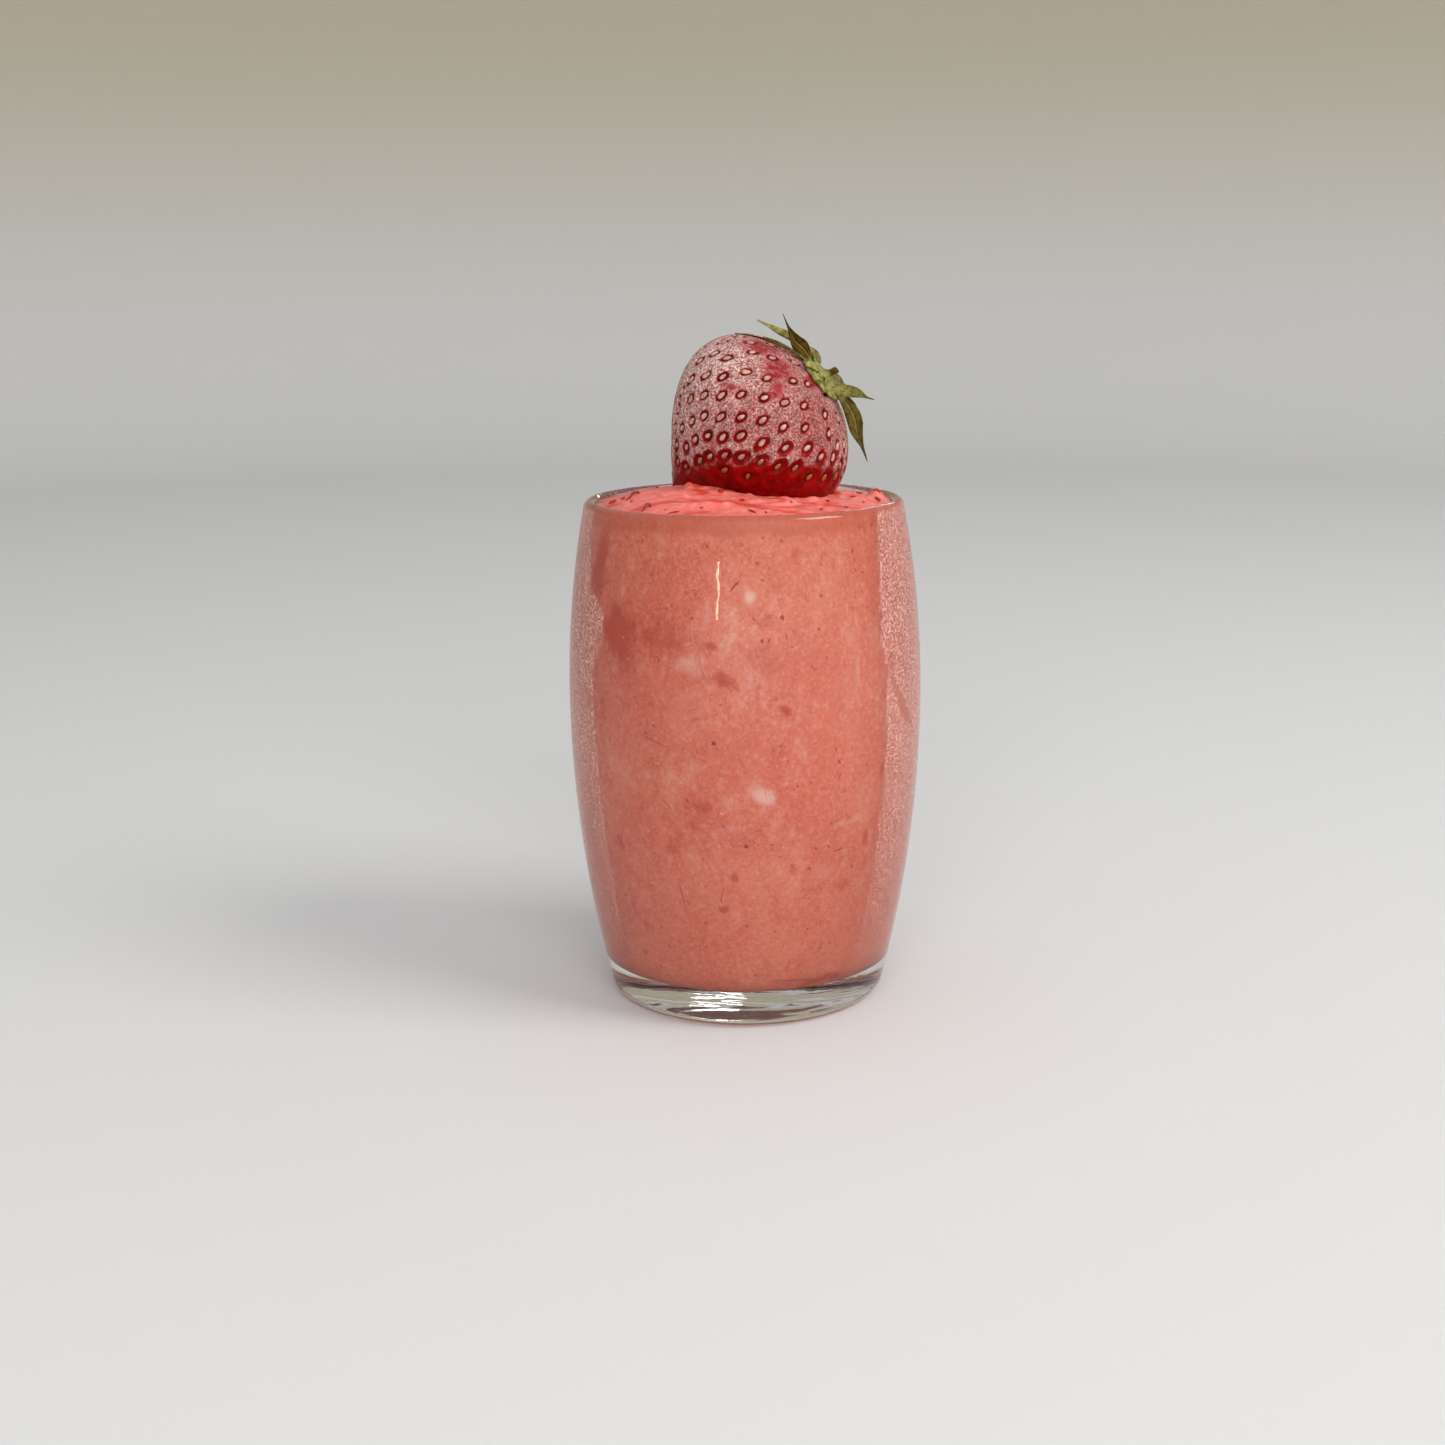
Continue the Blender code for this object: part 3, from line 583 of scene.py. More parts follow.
def glass_finish():
    paint = Paint("clear and misted glass")
    past, thick, wiped, foot = (paint.attribute(name) for name in (
        "past edge", "mist", "wiped", "foot"))
    uneven = paint.noise(6.0 * MM, 3.0, 0.55)
    ragged = paint.noise(1.5 * MM, 4.0, 0.65)
    grain = paint.noise(0.42 * MM, 4.0, 0.75)
    upright = paint.stretched((700.0, 700.0, 90.0), (0.12, 0.2, 0.0))
    strokes = paint.noise(1.0, 3.0, 0.6, vector=upright)
    gap = past + (ragged - 0.5) * 2.6
    inside = gap.step(-0.8, 1.0)
    line = inside * gap.step(0.9, 0.3)
    veil = 0.08 + 0.18 * uneven + 0.16 * strokes.step(0.45, 0.70)
    amount = inside * thick * (veil + grain.step(0.45, 0.60) * 0.46) * (1.0 - wiped * 0.9)
    # On the foot a milky coat is painted light: it stands in for the light that comes up through
    # the base.
    amount = (amount + line * thick * 0.20 + foot * (0.04 + 0.26 * uneven)).clamp()
    wavy = paint.bump(uneven, 0.12 * MM, 0.5)
    clear = paint.principled(base_color=rgb(0.97, 0.985, 0.975), roughness=inside * thick * 0.2,
                             transmission_weight=1.0, ior=GLASS_INDEX, normal=wavy)
    normal = paint.bump(grain, 0.1 * MM, 0.6)
    pale = paint.blend(rgb(0.42, 0.17, 0.14), rgb(0.88, 0.52, 0.45), grain.step(0.40, 0.62))
    # The foot's grey-green is painted light, seen through the base.
    pale = paint.blend(pale, rgb(0.64, 0.60, 0.52), foot)
    frost = paint.principled(base_color=pale, roughness=0.5, normal=normal)
    return paint.finish(paint.mixed(clear, frost, amount))


def make_glass():
    mesh = skin("glass_wall", turned(glass_profile(), 360))
    points = mesh_points(mesh)
    x, y, height = points.T
    low = (height < 1.5 * MM) & (np.hypot(x, y) < FOOT_RIPPLE_RADIUS)
    ripple = bent_wave(x, 1.9, y, 2.3, 1.5) * bent_wave(y, 1.4, x, 3.1)
    points[:, 2] += low * FOOT_RIPPLE * (1.0 + ripple)
    mesh.vertices.foreach_set("co", points.astype(np.float32).ravel())
    past, thick = mist_on(points)
    put_attribute(mesh, "past edge", past)
    put_attribute(mesh, "mist", thick)
    # Where the glass carries its milky coat of painted light, on the foot.
    put_attribute(mesh, "foot", low)
    put_attribute(mesh, "wiped", ovals(*photo_place(points), WIPED) * (points[:, 1] < 0.0))
    piece("glass_wall", mesh, glass_finish(), "glass")


def berry_profile(angle):
    """Radius and height along the berry's axis; angle 0 is the leaf end and pi the tip."""
    across, along = np.sin(angle), np.cos(angle)
    leaf = along >= 0.0
    radius = BERRY_RADIUS * across * np.where(leaf, 1.0, 1.0 - TIP_TAPER * along ** 2)
    return radius, along * np.where(leaf, BERRY_LEAF_END, BERRY_TIP_END)


def berry_table():
    """Angles down the berry with the arc and the share of its skin from the leaf end."""
    angles = np.linspace(0.0, math.pi, 2000)
    radius, height = berry_profile(angles)
    steps = np.hypot(np.diff(radius), np.diff(height))
    arc = np.concatenate([[0.0], np.cumsum(steps)])
    area = np.concatenate([[0.0], np.cumsum(steps * (radius[1:] + radius[:-1]) / 2)])
    return angles, arc, area / area[-1]


BERRY_ANGLES, BERRY_ARC, BERRY_AREA = berry_table()
BERRY_AXES = Matrix.Rotation(BERRY_TURN, 3, "Z") @ Matrix.Rotation(BERRY_TILT, 3, "Y")


def to_world(points):
    """Points from the berry's own frame to the part's."""
    return points @ np.array(BERRY_AXES).T + np.array(BERRY_CENTRE)


def to_berry(points):
    """Points from the part's frame to the berry's own."""
    return (points - np.array(BERRY_CENTRE)) @ np.array(BERRY_AXES)


def berry_surface(angle, azimuth):
    """Points, outward normals and directions to the tip on the berry, in its own frame."""
    step = 0.001
    radius, height = berry_profile(angle)
    ahead_radius, ahead_height = berry_profile(np.minimum(angle + step, math.pi))
    back_radius, back_height = berry_profile(np.maximum(angle - step, 0.0))
    run_radius, run_height = ahead_radius - back_radius, ahead_height - back_height
    size = np.hypot(run_radius, run_height)
    run_radius, run_height = run_radius / size, run_height / size
    cosine, sine = np.cos(azimuth), np.sin(azimuth)
    points = np.stack([radius * cosine, radius * sine, height], -1)
    normals = np.stack([-run_height * cosine, -run_height * sine, run_radius], -1)
    runs = np.stack([run_radius * cosine, run_radius * sine, run_height], -1)
    return points, normals, runs


def inside_berry(points):
    """Distance from the berry's axis as a share of its radius there: below 1 inside it."""
    local = to_berry(points)
    along = local[..., 2] / np.where(local[..., 2] >= 0.0, BERRY_LEAF_END, BERRY_TIP_END)
    radius = BERRY_RADIUS * np.sqrt(np.clip(1.0 - along ** 2, 1e-9, 1.0))
    radius = radius * np.where(along >= 0.0, 1.0, 1.0 - TIP_TAPER * along ** 2)
    share = np.hypot(local[..., 0], local[..., 1]) / radius
    return np.where(np.abs(along) < 1.0, share, 9.0)


def on_berry(pixel_x, pixel_y):
    """Angle and azimuth on the berry of what a photo pixel shows: the first point of the sight
    line that lies inside the berry."""
    direction = np.array(sight(pixel_x, pixel_y))
    reach = np.linspace(290.0, 345.0, 1101) * MM
    line = np.array(CAMERA_PLACE) + reach[:, None] * direction
    inside = inside_berry(line) < 1.0
    nearest = int(np.argmax(inside)) if inside.any() else int(np.argmin(inside_berry(line)))
    local = to_berry(line[nearest])
    along = local[2] / (BERRY_LEAF_END if local[2] >= 0.0 else BERRY_TIP_END)
    return math.acos(max(-1.0, min(1.0, along))), math.atan2(local[1], local[0])


def photo_place(points):
    """Photo pixels x and y of points."""
    forward, right, down = (np.array(axis) for axis in camera_axes())
    away = points - np.array(CAMERA_PLACE)
    depth = away @ forward
    half = PHOTO_SIZE / 2
    return half + FOCAL_PIXELS * (away @ right) / depth, half + FOCAL_PIXELS * (away @ down) / depth


def ovals(x, y, patches):
    """Strength at pixels of the strongest of soft ovals."""
    total = np.zeros(np.shape(x))
    for centre_x, centre_y, half_width, half_height, turn, strength in patches:
        cosine, sine = math.cos(math.radians(turn)), math.sin(math.radians(turn))
        along = ((x - centre_x) * cosine + (y - centre_y) * sine) / half_width
        across = (-(x - centre_x) * sine + (y - centre_y) * cosine) / half_height
        total = np.maximum(total, strength * np.exp(-(along ** 2 + across ** 2) ** 1.5))
    return total


def berry_underside(x, y):
    """Height of the berry's underside over points of the plan; far up where it isn't overhead."""
    low = np.full(x.shape, BERRY_CENTRE.z - 20.0 * MM)
    high = np.full(x.shape, BERRY_CENTRE.z - 1.0 * MM)
    over = inside_berry(np.stack([x, y, high], -1)) < 1.0
    for _ in range(26):
        middle = (low + high) / 2
        inside = inside_berry(np.stack([x, y, middle], -1)) < 1.0
        high = np.where(inside, middle, high)
        low = np.where(inside, low, middle)
    return np.where(over, high, 1.0)


def swell(x, y, place, length, width, turn):
    """A smooth oval hill of height 1 on the plan, for lumps and curls of the top."""
    cosine, sine = math.cos(math.radians(turn)), math.sin(math.radians(turn))
    along = ((x - place[0] * MM) * cosine + (y - place[1] * MM) * sine) / (length * MM)
    across = (-(x - place[0] * MM) * sine + (y - place[1] * MM) * cosine) / (width * MM)
    return np.exp(-2.0 * (along ** 2 + across ** 2))


def smear_relief(x, y):
    """Height of the knife smears: waves across Y that bend with X, torn and crumbled by finer
    ones."""
    bend = y + 0.14 * x + 0.9 * MM * np.sin(x / (6.0 * MM))
    broad, narrow = SMEAR_WIDTHS
    smears = np.sin(bend / broad) + 0.6 * np.sin(bend / narrow + 1.3)
    tears = bent_wave(x, 2.3, y, 1.9) * np.sin(bend / (0.9 * MM) + 0.5)
    crumbs = bent_wave(x, 0.71, y, 0.9, 1.7) * bent_wave(y, 0.53, x, 1.3, 2.1)
    return SMEAR_DEPTH * (smears + 0.55 * tears + 0.35 * crumbs)


def plain_dome(x, y):
    """Height of the sorbet's top before its creases and curls: a leaning dome with a broad dip
    before the berry, and the smears."""
    edge = float(side_radius(SORBET_EDGE_HEIGHT, WALL + GAP))
    span = np.clip(1.0 - (x ** 2 + y ** 2) / edge ** 2, 0.0, 1.0)
    rise = DOME_RISE + DOME_LEAN_X * x + DOME_LEAN_Y * y
    dip = np.exp(-((x - DIP_X) ** 2 + (y - DIP_Y) ** 2) / DIP_SPREAD ** 2)
    relief = smear_relief(x, y) - DIP_DEPTH * dip
    return SORBET_EDGE_HEIGHT + rise * span + relief * np.clip(span * 5.0, 0.0, 1.0)


def on_dome(pixel_x, pixel_y, surface=plain_dome):
    """The point of the sorbet's top that a photo pixel shows."""
    line = (np.array(CAMERA_PLACE)
            + np.linspace(285.0, 350.0, 1301)[:, None] * MM * np.array(sight(pixel_x, pixel_y)))
    below = line[:, 2] < surface(line[:, 0], line[:, 1])
    return line[int(np.argmax(below))]


def dome_height(x, y):
    """The plain top with the creases pressed into it and the curls and lumps on it."""
    height = plain_dome(x, y)
    for first_x, first_y, last_x, last_y, width, depth in CREASES:
        first, last = on_dome(first_x, first_y), on_dome(last_x, last_y)
        middle, reach = (first + last) / 2 / MM, (last - first) / MM
        length = math.hypot(reach[0], reach[1]) / 2
        turn = math.degrees(math.atan2(reach[1], reach[0]))
        height -= depth * MM * swell(x, y, middle, length, width, turn)
        side = (middle[0], middle[1] + 1.5 * width)
        height += 0.6 * depth * MM * swell(x, y, side, length, width, turn)
    for rise, place_x, place_y, length, width, turn in LUMPS:
        height += rise * MM * swell(x, y, (place_x, place_y), length, width, turn)
    return height


def sorbet_rows(columns):
    """Rows of points: floor, corner and side, all a little inside the wall's glass, then the top
    to its middle, pressed down under the berry."""
    inset = WALL - INTO_WALL
    cup = cup_profile(inset, FLOOR - INTO_WALL, INNER_CORNER, SORBET_EDGE_HEIGHT, 4, 8, 165)
    sides = turned(cup, columns)
    radii = np.linspace(cup[-1, 0], 0.0, 112)[1:]
    flat = np.stack([radii, np.full(len(radii), SORBET_EDGE_HEIGHT)], -1)
    top = turned(flat, columns)
    x, y = top[..., 0], top[..., 1]
    under = berry_underside(x.ravel(), y.ravel()).reshape(x.shape)
    top[..., 2] = np.minimum(dome_height(x, y), under - 0.05 * MM)
    return np.concatenate([sides, top])


def painted(points, patches, rng, others):
    """Strength of soft oval patches on the sorbet's side: those listed, and others behind."""
    azimuth = np.arctan2(points[:, 0], -points[:, 1])
    spots = []
    for x, y, half_width, half_height, turn, strength in patches:
        angle, height = through_glass(x, y)
        spots.append((angle, height, half_width / PIXELS_PER_MM * MM,
                      half_height / PIXELS_PER_MM * MM, math.radians(turn), strength))
    for _ in range(others):
        angle = math.pi + rng.uniform(-1.75, 1.75)
        wide, tall = rng.uniform(0.6, 3.2, 2) * MM
        spots.append((angle, rng.uniform(0.1, 0.95) * SORBET_EDGE_HEIGHT, wide, tall,
                      rng.uniform(0.0, math.pi), rng.uniform(0.3, 0.9)))
    total = np.zeros(len(points))
    most_warp = 0.45 * MM
    radius = np.hypot(points[:, 0], points[:, 1])
    round_way, high = azimuth * BELLY_RADIUS, points[:, 2]
    warp = (bent_wave(high, 1.9, round_way, 3.1)
            + 0.6 * bent_wave(high, 0.83, round_way, 1.3, 1.9))
    lift = (bent_wave(round_way, 1.7, high, 2.7, 2.3)
            + 0.6 * bent_wave(round_way, 0.77, high, 1.1, 1.7))
    for angle, height, wide, tall, turn, strength in spots:
        along = (np.mod(azimuth - angle + math.pi, 2 * math.pi) - math.pi) * radius
        along = along + min(most_warp, 0.35 * wide) * warp
        up = high - height + min(most_warp, 0.35 * tall) * lift
        a = (along * math.cos(turn) - up * math.sin(turn)) / wide
        b = (along * math.sin(turn) + up * math.cos(turn)) / tall
        total = np.maximum(total, strength * np.exp(-1.2 * (a ** 2 + b ** 2)))
    return total * (radius > 8.0 * MM)


def sorbet_finish():
    paint = Paint("strawberry sorbet")
    red, pale, top, shade, hollow_shade, red_mark_and_shade, wet = (paint.attribute(name) for name in (
        "red fruit", "pale ice", "top", "shade", "hollow_shade", "red_mark_and_shade", "wet"))
    broad = paint.noise(16.0 * MM, 3.0, 0.5, 0.6)
    medium = paint.noise(5.0 * MM, 4.0, 0.6, 0.8)
    slanting = paint.stretched((250.0, 250.0, 140.0), (0.6, 0.4, 0.0))
    smeared = paint.noise(1.0, 4.0, 0.62, 0.7, slanting)
    fine = paint.noise(1.1 * MM, 4.0, 0.65)
    grain = paint.noise(0.5 * MM, 3.0, 0.6)
    ragged = (red + (fine - 0.5) * 0.6 + (medium - 0.5) * 0.6).step(0.12, 0.92)
    icy = (pale + (fine - 0.5) * 0.5 + (grain - 0.5) * 0.2).step(0.18, 0.95)
    vein = (smeared - 0.5).math("ABSOLUTE").step(0.016, 0.004) * medium.step(0.50, 0.64)
    flecks = paint.cells(2.3 * MM).step(0.17, 0.08) * medium.step(0.42, 0.60)
    bubbles = paint.cells(1.5 * MM).step(0.15, 0.08) * broad.step(0.48, 0.62)
    fresh = paint.coats(rgb(0.74, 0.145, 0.118), [
        (rgb(0.83, 0.24, 0.205), fine.step(0.4, 0.7)),
        # Painted shade: the hollows of the smears on top are drawn darker and deeper red.
        (rgb(0.62, 0.070, 0.045), (hollow_shade + (fine - 0.5) * 0.8).step(0.25, 1.2)),
        # Red marks on top, partly painted shade under the curl, in the creases and beside the
        # berry.
        (rgb(0.62, 0.045, 0.022), (red_mark_and_shade + (fine - 0.5) * 0.6).step(0.25, 0.8))])
    base = paint.coats(rgb(0.85, 0.20, 0.118), [
        (rgb(0.90, 0.28, 0.175), broad.step(0.35, 0.68)),
        (rgb(0.78, 0.13, 0.060), smeared.step(0.52, 0.72) * 0.55),
        (rgb(0.94, 0.44, 0.33), smeared.step(0.47, 0.28) * 0.5),
        (rgb(0.95, 0.50, 0.39), medium.step(0.45, 0.28) * 0.3),
        (rgb(0.72, 0.110, 0.052), fine.step(0.52, 0.68) * 0.42),
        (rgb(0.96, 0.48, 0.36), fine.step(0.46, 0.32) * 0.36),
        (rgb(0.70, 0.100, 0.048), grain.step(0.52, 0.66) * 0.38),
        (rgb(0.96, 0.50, 0.38), grain.step(0.46, 0.34) * 0.36),
        (rgb(0.64, 0.052, 0.014), ragged * 0.95), (rgb(0.96, 0.68, 0.58), icy * 0.75),
        (rgb(0.56, 0.060, 0.028), vein * 0.55), (rgb(0.44, 0.035, 0.018), flecks * 0.75),
        (rgb(0.96, 0.60, 0.48), bubbles * 0.55), (rgb(0.64, 0.115, 0.055), shade * 0.75),
        (fresh, top)])
    normal = paint.bump(fine * 0.6 + grain * 0.4, 0.22 * MM, 0.55)
    rough = (0.28 + 0.35 * fine) * (1.0 - wet * 0.75)
    shader = paint.principled(base_color=base, roughness=rough, normal=normal,
                              subsurface_weight=0.15, subsurface_scale=0.8 * MM,
                              subsurface_radius=(1.0, 0.45, 0.35))
    return paint.finish(shader)


def make_sorbet(rng):
    mesh = skin("sorbet_fill", sorbet_rows(320))
    points = mesh_points(mesh)
    put_attribute(mesh, "red fruit", painted(points, RED_PATCHES, rng, 34))
    put_attribute(mesh, "pale ice", painted(points, PALE_PATCHES, rng, 16))
    azimuth = np.arctan2(points[:, 0], -points[:, 1])
    wave = 0.3 * MM * np.sin(azimuth * 9.0 + 2.0 * np.sin(azimuth * 4.0))
    under_lip = np.clip((points[:, 2] - SHADE_UNDER_LIP - wave) / (1.3 * MM), 0.0, 1.0)
    low = np.clip((42.0 * MM - points[:, 2]) / (34.0 * MM), 0.0, 1.0)
    right = np.clip(azimuth, 0.0, 1.0)
    side = 0.3 * np.clip(-azimuth, 0.0, 1.2) + 0.38 * low * (1.0 + 1.4 * right)
    put_attribute(mesh, "shade", np.maximum(under_lip * 0.95, side))
    edge = float(side_radius(SORBET_EDGE_HEIGHT, WALL - INTO_WALL))
    reach = np.hypot(points[:, 0], points[:, 1])
    on_top = (points[:, 2] > SORBET_EDGE_HEIGHT - 0.01 * MM) & (reach < edge - 0.01 * MM)
    put_attribute(mesh, "top", on_top)
    # Painted shade in the hollows of the smears: how far each point of the top lies below their
    # middle.
    sunk_shade = -smear_relief(points[:, 0], points[:, 1]) / SMEAR_DEPTH
    put_attribute(mesh, "hollow_shade", np.clip(sunk_shade, 0.0, 2.0) * on_top)
    place_x, place_y = photo_place(points)
    # Red marks and painted shade on top, from their ovals.
    put_attribute(mesh, "red_mark_and_shade", ovals(place_x, place_y, RED_MARKS_AND_SHADE) * on_top)
    put_attribute(mesh, "wet", ovals(place_x, place_y, WET) * on_top)
    piece("sorbet_fill", mesh, sorbet_finish(), "sorbet")


def shred(middle, widths, out, thickness):
    """Rows of points of a thin flattened thread along a line, lens-shaped in section."""
    run = np.gradient(middle, axis=0)
    across = np.cross(out, run)
    across /= np.linalg.norm(across, axis=1, keepdims=True) + 1e-12
    turns = np.linspace(0.0, 2.0 * math.pi, 8, endpoint=False)
    sideways = across[:, None, :] * np.cos(turns)[None, :, None] * widths[:, None, None] / 2
    outward = out[:, None, :] * np.sin(turns)[None, :, None] * thickness[:, None, None] / 2
    return middle[:, None, :] + sideways + outward


def line_points(corners, count):
    """Points evenly spaced along a smoothed line through corners, and their share of it."""
    corners = np.asarray(corners, float)
    steps = np.concatenate([[0.0], np.cumsum(np.linalg.norm(np.diff(corners, axis=0), axis=1))])
    share = np.linspace(0.0, 1.0, count)
    line = np.stack([np.interp(share * steps[-1], steps, corners[:, k]) for k in (0, 1)], -1)
    for _ in range(2):
        line[1:-1] = (line[:-2] + 2.0 * line[1:-1] + line[2:]) / 4.0
    return line, share


def skin_finish():
    paint = Paint("shreds of fruit")
    mottle = paint.noise(0.5 * MM, 3.0, 0.6)
    colour = paint.blend(rgb(0.17, 0.007, 0.006), rgb(0.42, 0.035, 0.018), mottle.step(0.35, 0.65))
    return paint.finish(paint.principled(base_color=colour, roughness=0.3))


def buried_finish():
    """Shreds behind the glass: a red a little deeper than the sorbet, the thickest ones dark."""
    paint = Paint("shreds of fruit in the sorbet")
    deep = paint.attribute("deep")
    mottle = paint.noise(0.6 * MM, 3.0, 0.6)
    soft = paint.blend(rgb(0.56, 0.060, 0.026), rgb(0.70, 0.11, 0.055), mottle.step(0.35, 0.65))
    colour = paint.blend(soft, rgb(0.20, 0.008, 0.006), deep)
    return paint.finish(paint.principled(base_color=colour, roughness=0.5))


def make_shreds(rng):
    """Dark shreds against the glass: those seen, and others strewn round the back."""
    meshes, depths = [], []
    count = 12
    lines = [(width, [through_glass(x, y) for x, y in line_points(corners, count)[0]])
             for width, *corners in SHREDS]
    for _ in range(60):
        azimuth = math.pi + rng.uniform(-1.9, 1.9)
        height = rng.uniform(8.0, 80.0) * MM
        heading, bow, size = rng.uniform(0.0, math.pi), rng.normal(0.0, 1.0), rng.uniform(0.3, 2.6)
        share = np.linspace(-0.5, 0.5, count)
        swing = heading + bow * share
        lines.append((rng.uniform(1.2, 3.4), list(zip(
            azimuth + np.cumsum(np.cos(swing)) / count * size * MM / BELLY_RADIUS,
            height + np.cumsum(np.sin(swing)) / count * size * MM))))
    for width, places in lines:
        azimuth, height = np.array(places).T
        radius = side_radius(height, WALL - INTO_WALL) + 0.01 * MM
        out = np.stack([np.sin(azimuth), -np.cos(azimuth), 0 * azimuth], -1)
        middle = out * radius[:, None]
        middle[:, 2] = height
        taper = np.sin(math.pi * (0.04 + 0.92 * np.linspace(0.0, 1.0, count))) ** 0.6
        widths = 0.9 * width / PIXELS_PER_MM * MM * taper * rng.uniform(0.65, 1.25, count)
        depths.append(rng.uniform(0.0, 0.2) + 0.1 * (width > 2.5) + 0.6 * (width > 4.0))
        rows = shred(middle, widths, out, np.minimum(widths, SHRED_THICKNESS))
        meshes.append(skin("shred", rows))
    sizes = [len(mesh.vertices) for mesh in meshes]
    whole = joined("fruit_shreds", meshes)
    put_attribute(whole, "deep", np.repeat(depths, sizes))
    piece("fruit_shreds", whole, buried_finish())


def make_skins(rng):
    """Curled skins and flecks on top: each stands on the dome where its lowest pixel falls, and
    inside the glass's wall."""
    meshes = []
    count = 14
    room = float(side_radius(SORBET_EDGE_HEIGHT, WALL + GAP)) - SKIN_CLEAR_OF_EDGE
    for width, *corners in SKINS:
        line, share = line_points(corners, count)
        anchor_y = line[:, 1].max()
        anchor = on_dome(float(line[:, 0].mean()), float(anchor_y), dome_height)
        x = anchor[0] + (line[:, 0] - line[:, 0].mean()) / PIXELS_PER_MM * MM
        rise = (anchor_y - line[:, 1]) / PIXELS_PER_MM * MM
        y = anchor[1] + rise * 1.2
        pull = min(1.0, room / float(np.hypot(x, y).max()))
        x, y = x * pull, y * pull
        height = np.maximum(dome_height(x, y) + 0.1 * MM, anchor[2] + 0.8 * rise)
        middle = np.stack([x, y, height], -1)
        out = np.tile((0.0, -0.5, 0.87), (count, 1))
        taper = np.sin(math.pi * (0.05 + 0.9 * share)) ** 0.6
        widths = width / PIXELS_PER_MM * MM * taper * rng.uniform(0.8, 1.2, count)
        rows = shred(middle, widths * 1.1, out, np.minimum(widths, SKIN_THICKNESS))
        meshes.append(skin("skin", rows))
    piece("fruit_skins", joined("fruit_skins", meshes), skin_finish())


def seed_grid():
    """Angle and azimuth of the seeds: those seen, and on the rest of the berry a spiral wound by
    the golden angle in which each has an equal share of skin."""
    seen_angle, seen_azimuth = np.array([on_berry(x, y) for x, y in SEEN_SEEDS]).T
    index = np.arange(SEED_COUNT)
    angle = np.interp((index + 0.5) / SEED_COUNT, BERRY_AREA, BERRY_ANGLES)
    azimuth = index * math.pi * (3.0 - math.sqrt(5.0))
    reach = np.interp(angle, BERRY_ANGLES, BERRY_ARC)
    places = berry_surface(angle, azimuth)[0]
    seen = berry_surface(seen_angle, seen_azimuth)[0]
    nearest = np.linalg.norm(places[:, None] - seen[None], axis=-1).min(axis=1)
    world = to_world(places)
    bare_front = (world[:, 2] < ONLY_SEEN_BELOW) & (world[:, 1] < BERRY_CENTRE.y)
    clear = (reach > CROWN_RADIUS + 1.6 * MM) & (nearest > SEED_SPACING) & ~bare_front
    return (np.concatenate([seen_angle, angle[clear]]),
            np.concatenate([seen_azimuth, azimuth[clear]]))


def nearest_seed(points, seeds, seed_runs):
    """Distance to the nearest seed, shortened along its length so that dimples are oval."""
    best = np.full(len(points), 1.0)
    for place, run in zip(seeds, seed_runs):
        away = points - place
        close = np.abs(away).max(axis=1) < 3.0 * MM
        along = away[close] @ run
        square = (away[close] ** 2).sum(axis=1) - along ** 2
        oval = np.sqrt(square + (along * SEED_WIDTH / SEED_LENGTH) ** 2)
        best[close] = np.minimum(best[close], oval)
    return best


def make_berry():
    columns, rows = 380, 240
    arc = np.linspace(0.0, BERRY_ARC[-1], rows)
    angle = np.interp(arc, BERRY_ARC, BERRY_ANGLES)[:, None] + np.zeros(columns)
    turns = np.linspace(0.0, 2.0 * math.pi, columns, endpoint=False)
    points, normals, _ = berry_surface(angle, turns[None, :] + np.zeros((rows, 1)))
    seeds, _, seed_runs = berry_surface(*seed_grid())
    gap = nearest_seed(points.reshape(-1, 3), seeds, seed_runs).reshape(rows, columns)
    dimple = np.exp(-(gap / DIMPLE_RADIUS) ** 3)
    swollen = 0.10 * MM * (1.0 - dimple) - DIMPLE_DEPTH * dimple
    points = points + normals * (swollen - 0.05 * MM)[..., None]
    mesh = skin("berry_flesh", to_world(points)[::-1])
    one_at_each_pole = slice(columns - 1, 1 - columns)
    put_attribute(mesh, "seed gap", gap[::-1].ravel()[one_at_each_pole] / MM)
    corners = mesh_points(mesh)
    place_x, place_y = photo_place(corners)
    facing = corners[:, 1] < BERRY_CENTRE.y
    put_attribute(mesh, "thawed", ovals(place_x, place_y, THAWED) * facing)
    # Thinner and thicker frost, partly its real cover and partly painted shade and light.
    thin = ovals(place_x, place_y, THIN_FROST_AND_SHADE) - ovals(place_x, place_y, THICK_FROST_AND_LIGHT)
    put_attribute(mesh, "thin", thin * facing)
    piece("berry_flesh", mesh, berry_finish(), "strawberry")


def frost_line(paint):
    """How far a point stands above the ragged lower edge of the frost, in metres: a plane that
    dips towards the back and to the right."""
    sockets = {0: paint.place(), 1: FROST_LEAN}
    above = paint.node("ShaderNodeVectorMath", {"operation": "DOT_PRODUCT"}, sockets, out="Value")
    ragged = paint.noise(2.0 * MM, 5.0, 0.7)
    return above - FROST_HEIGHT - (ragged - 0.5) * (4.0 * MM)


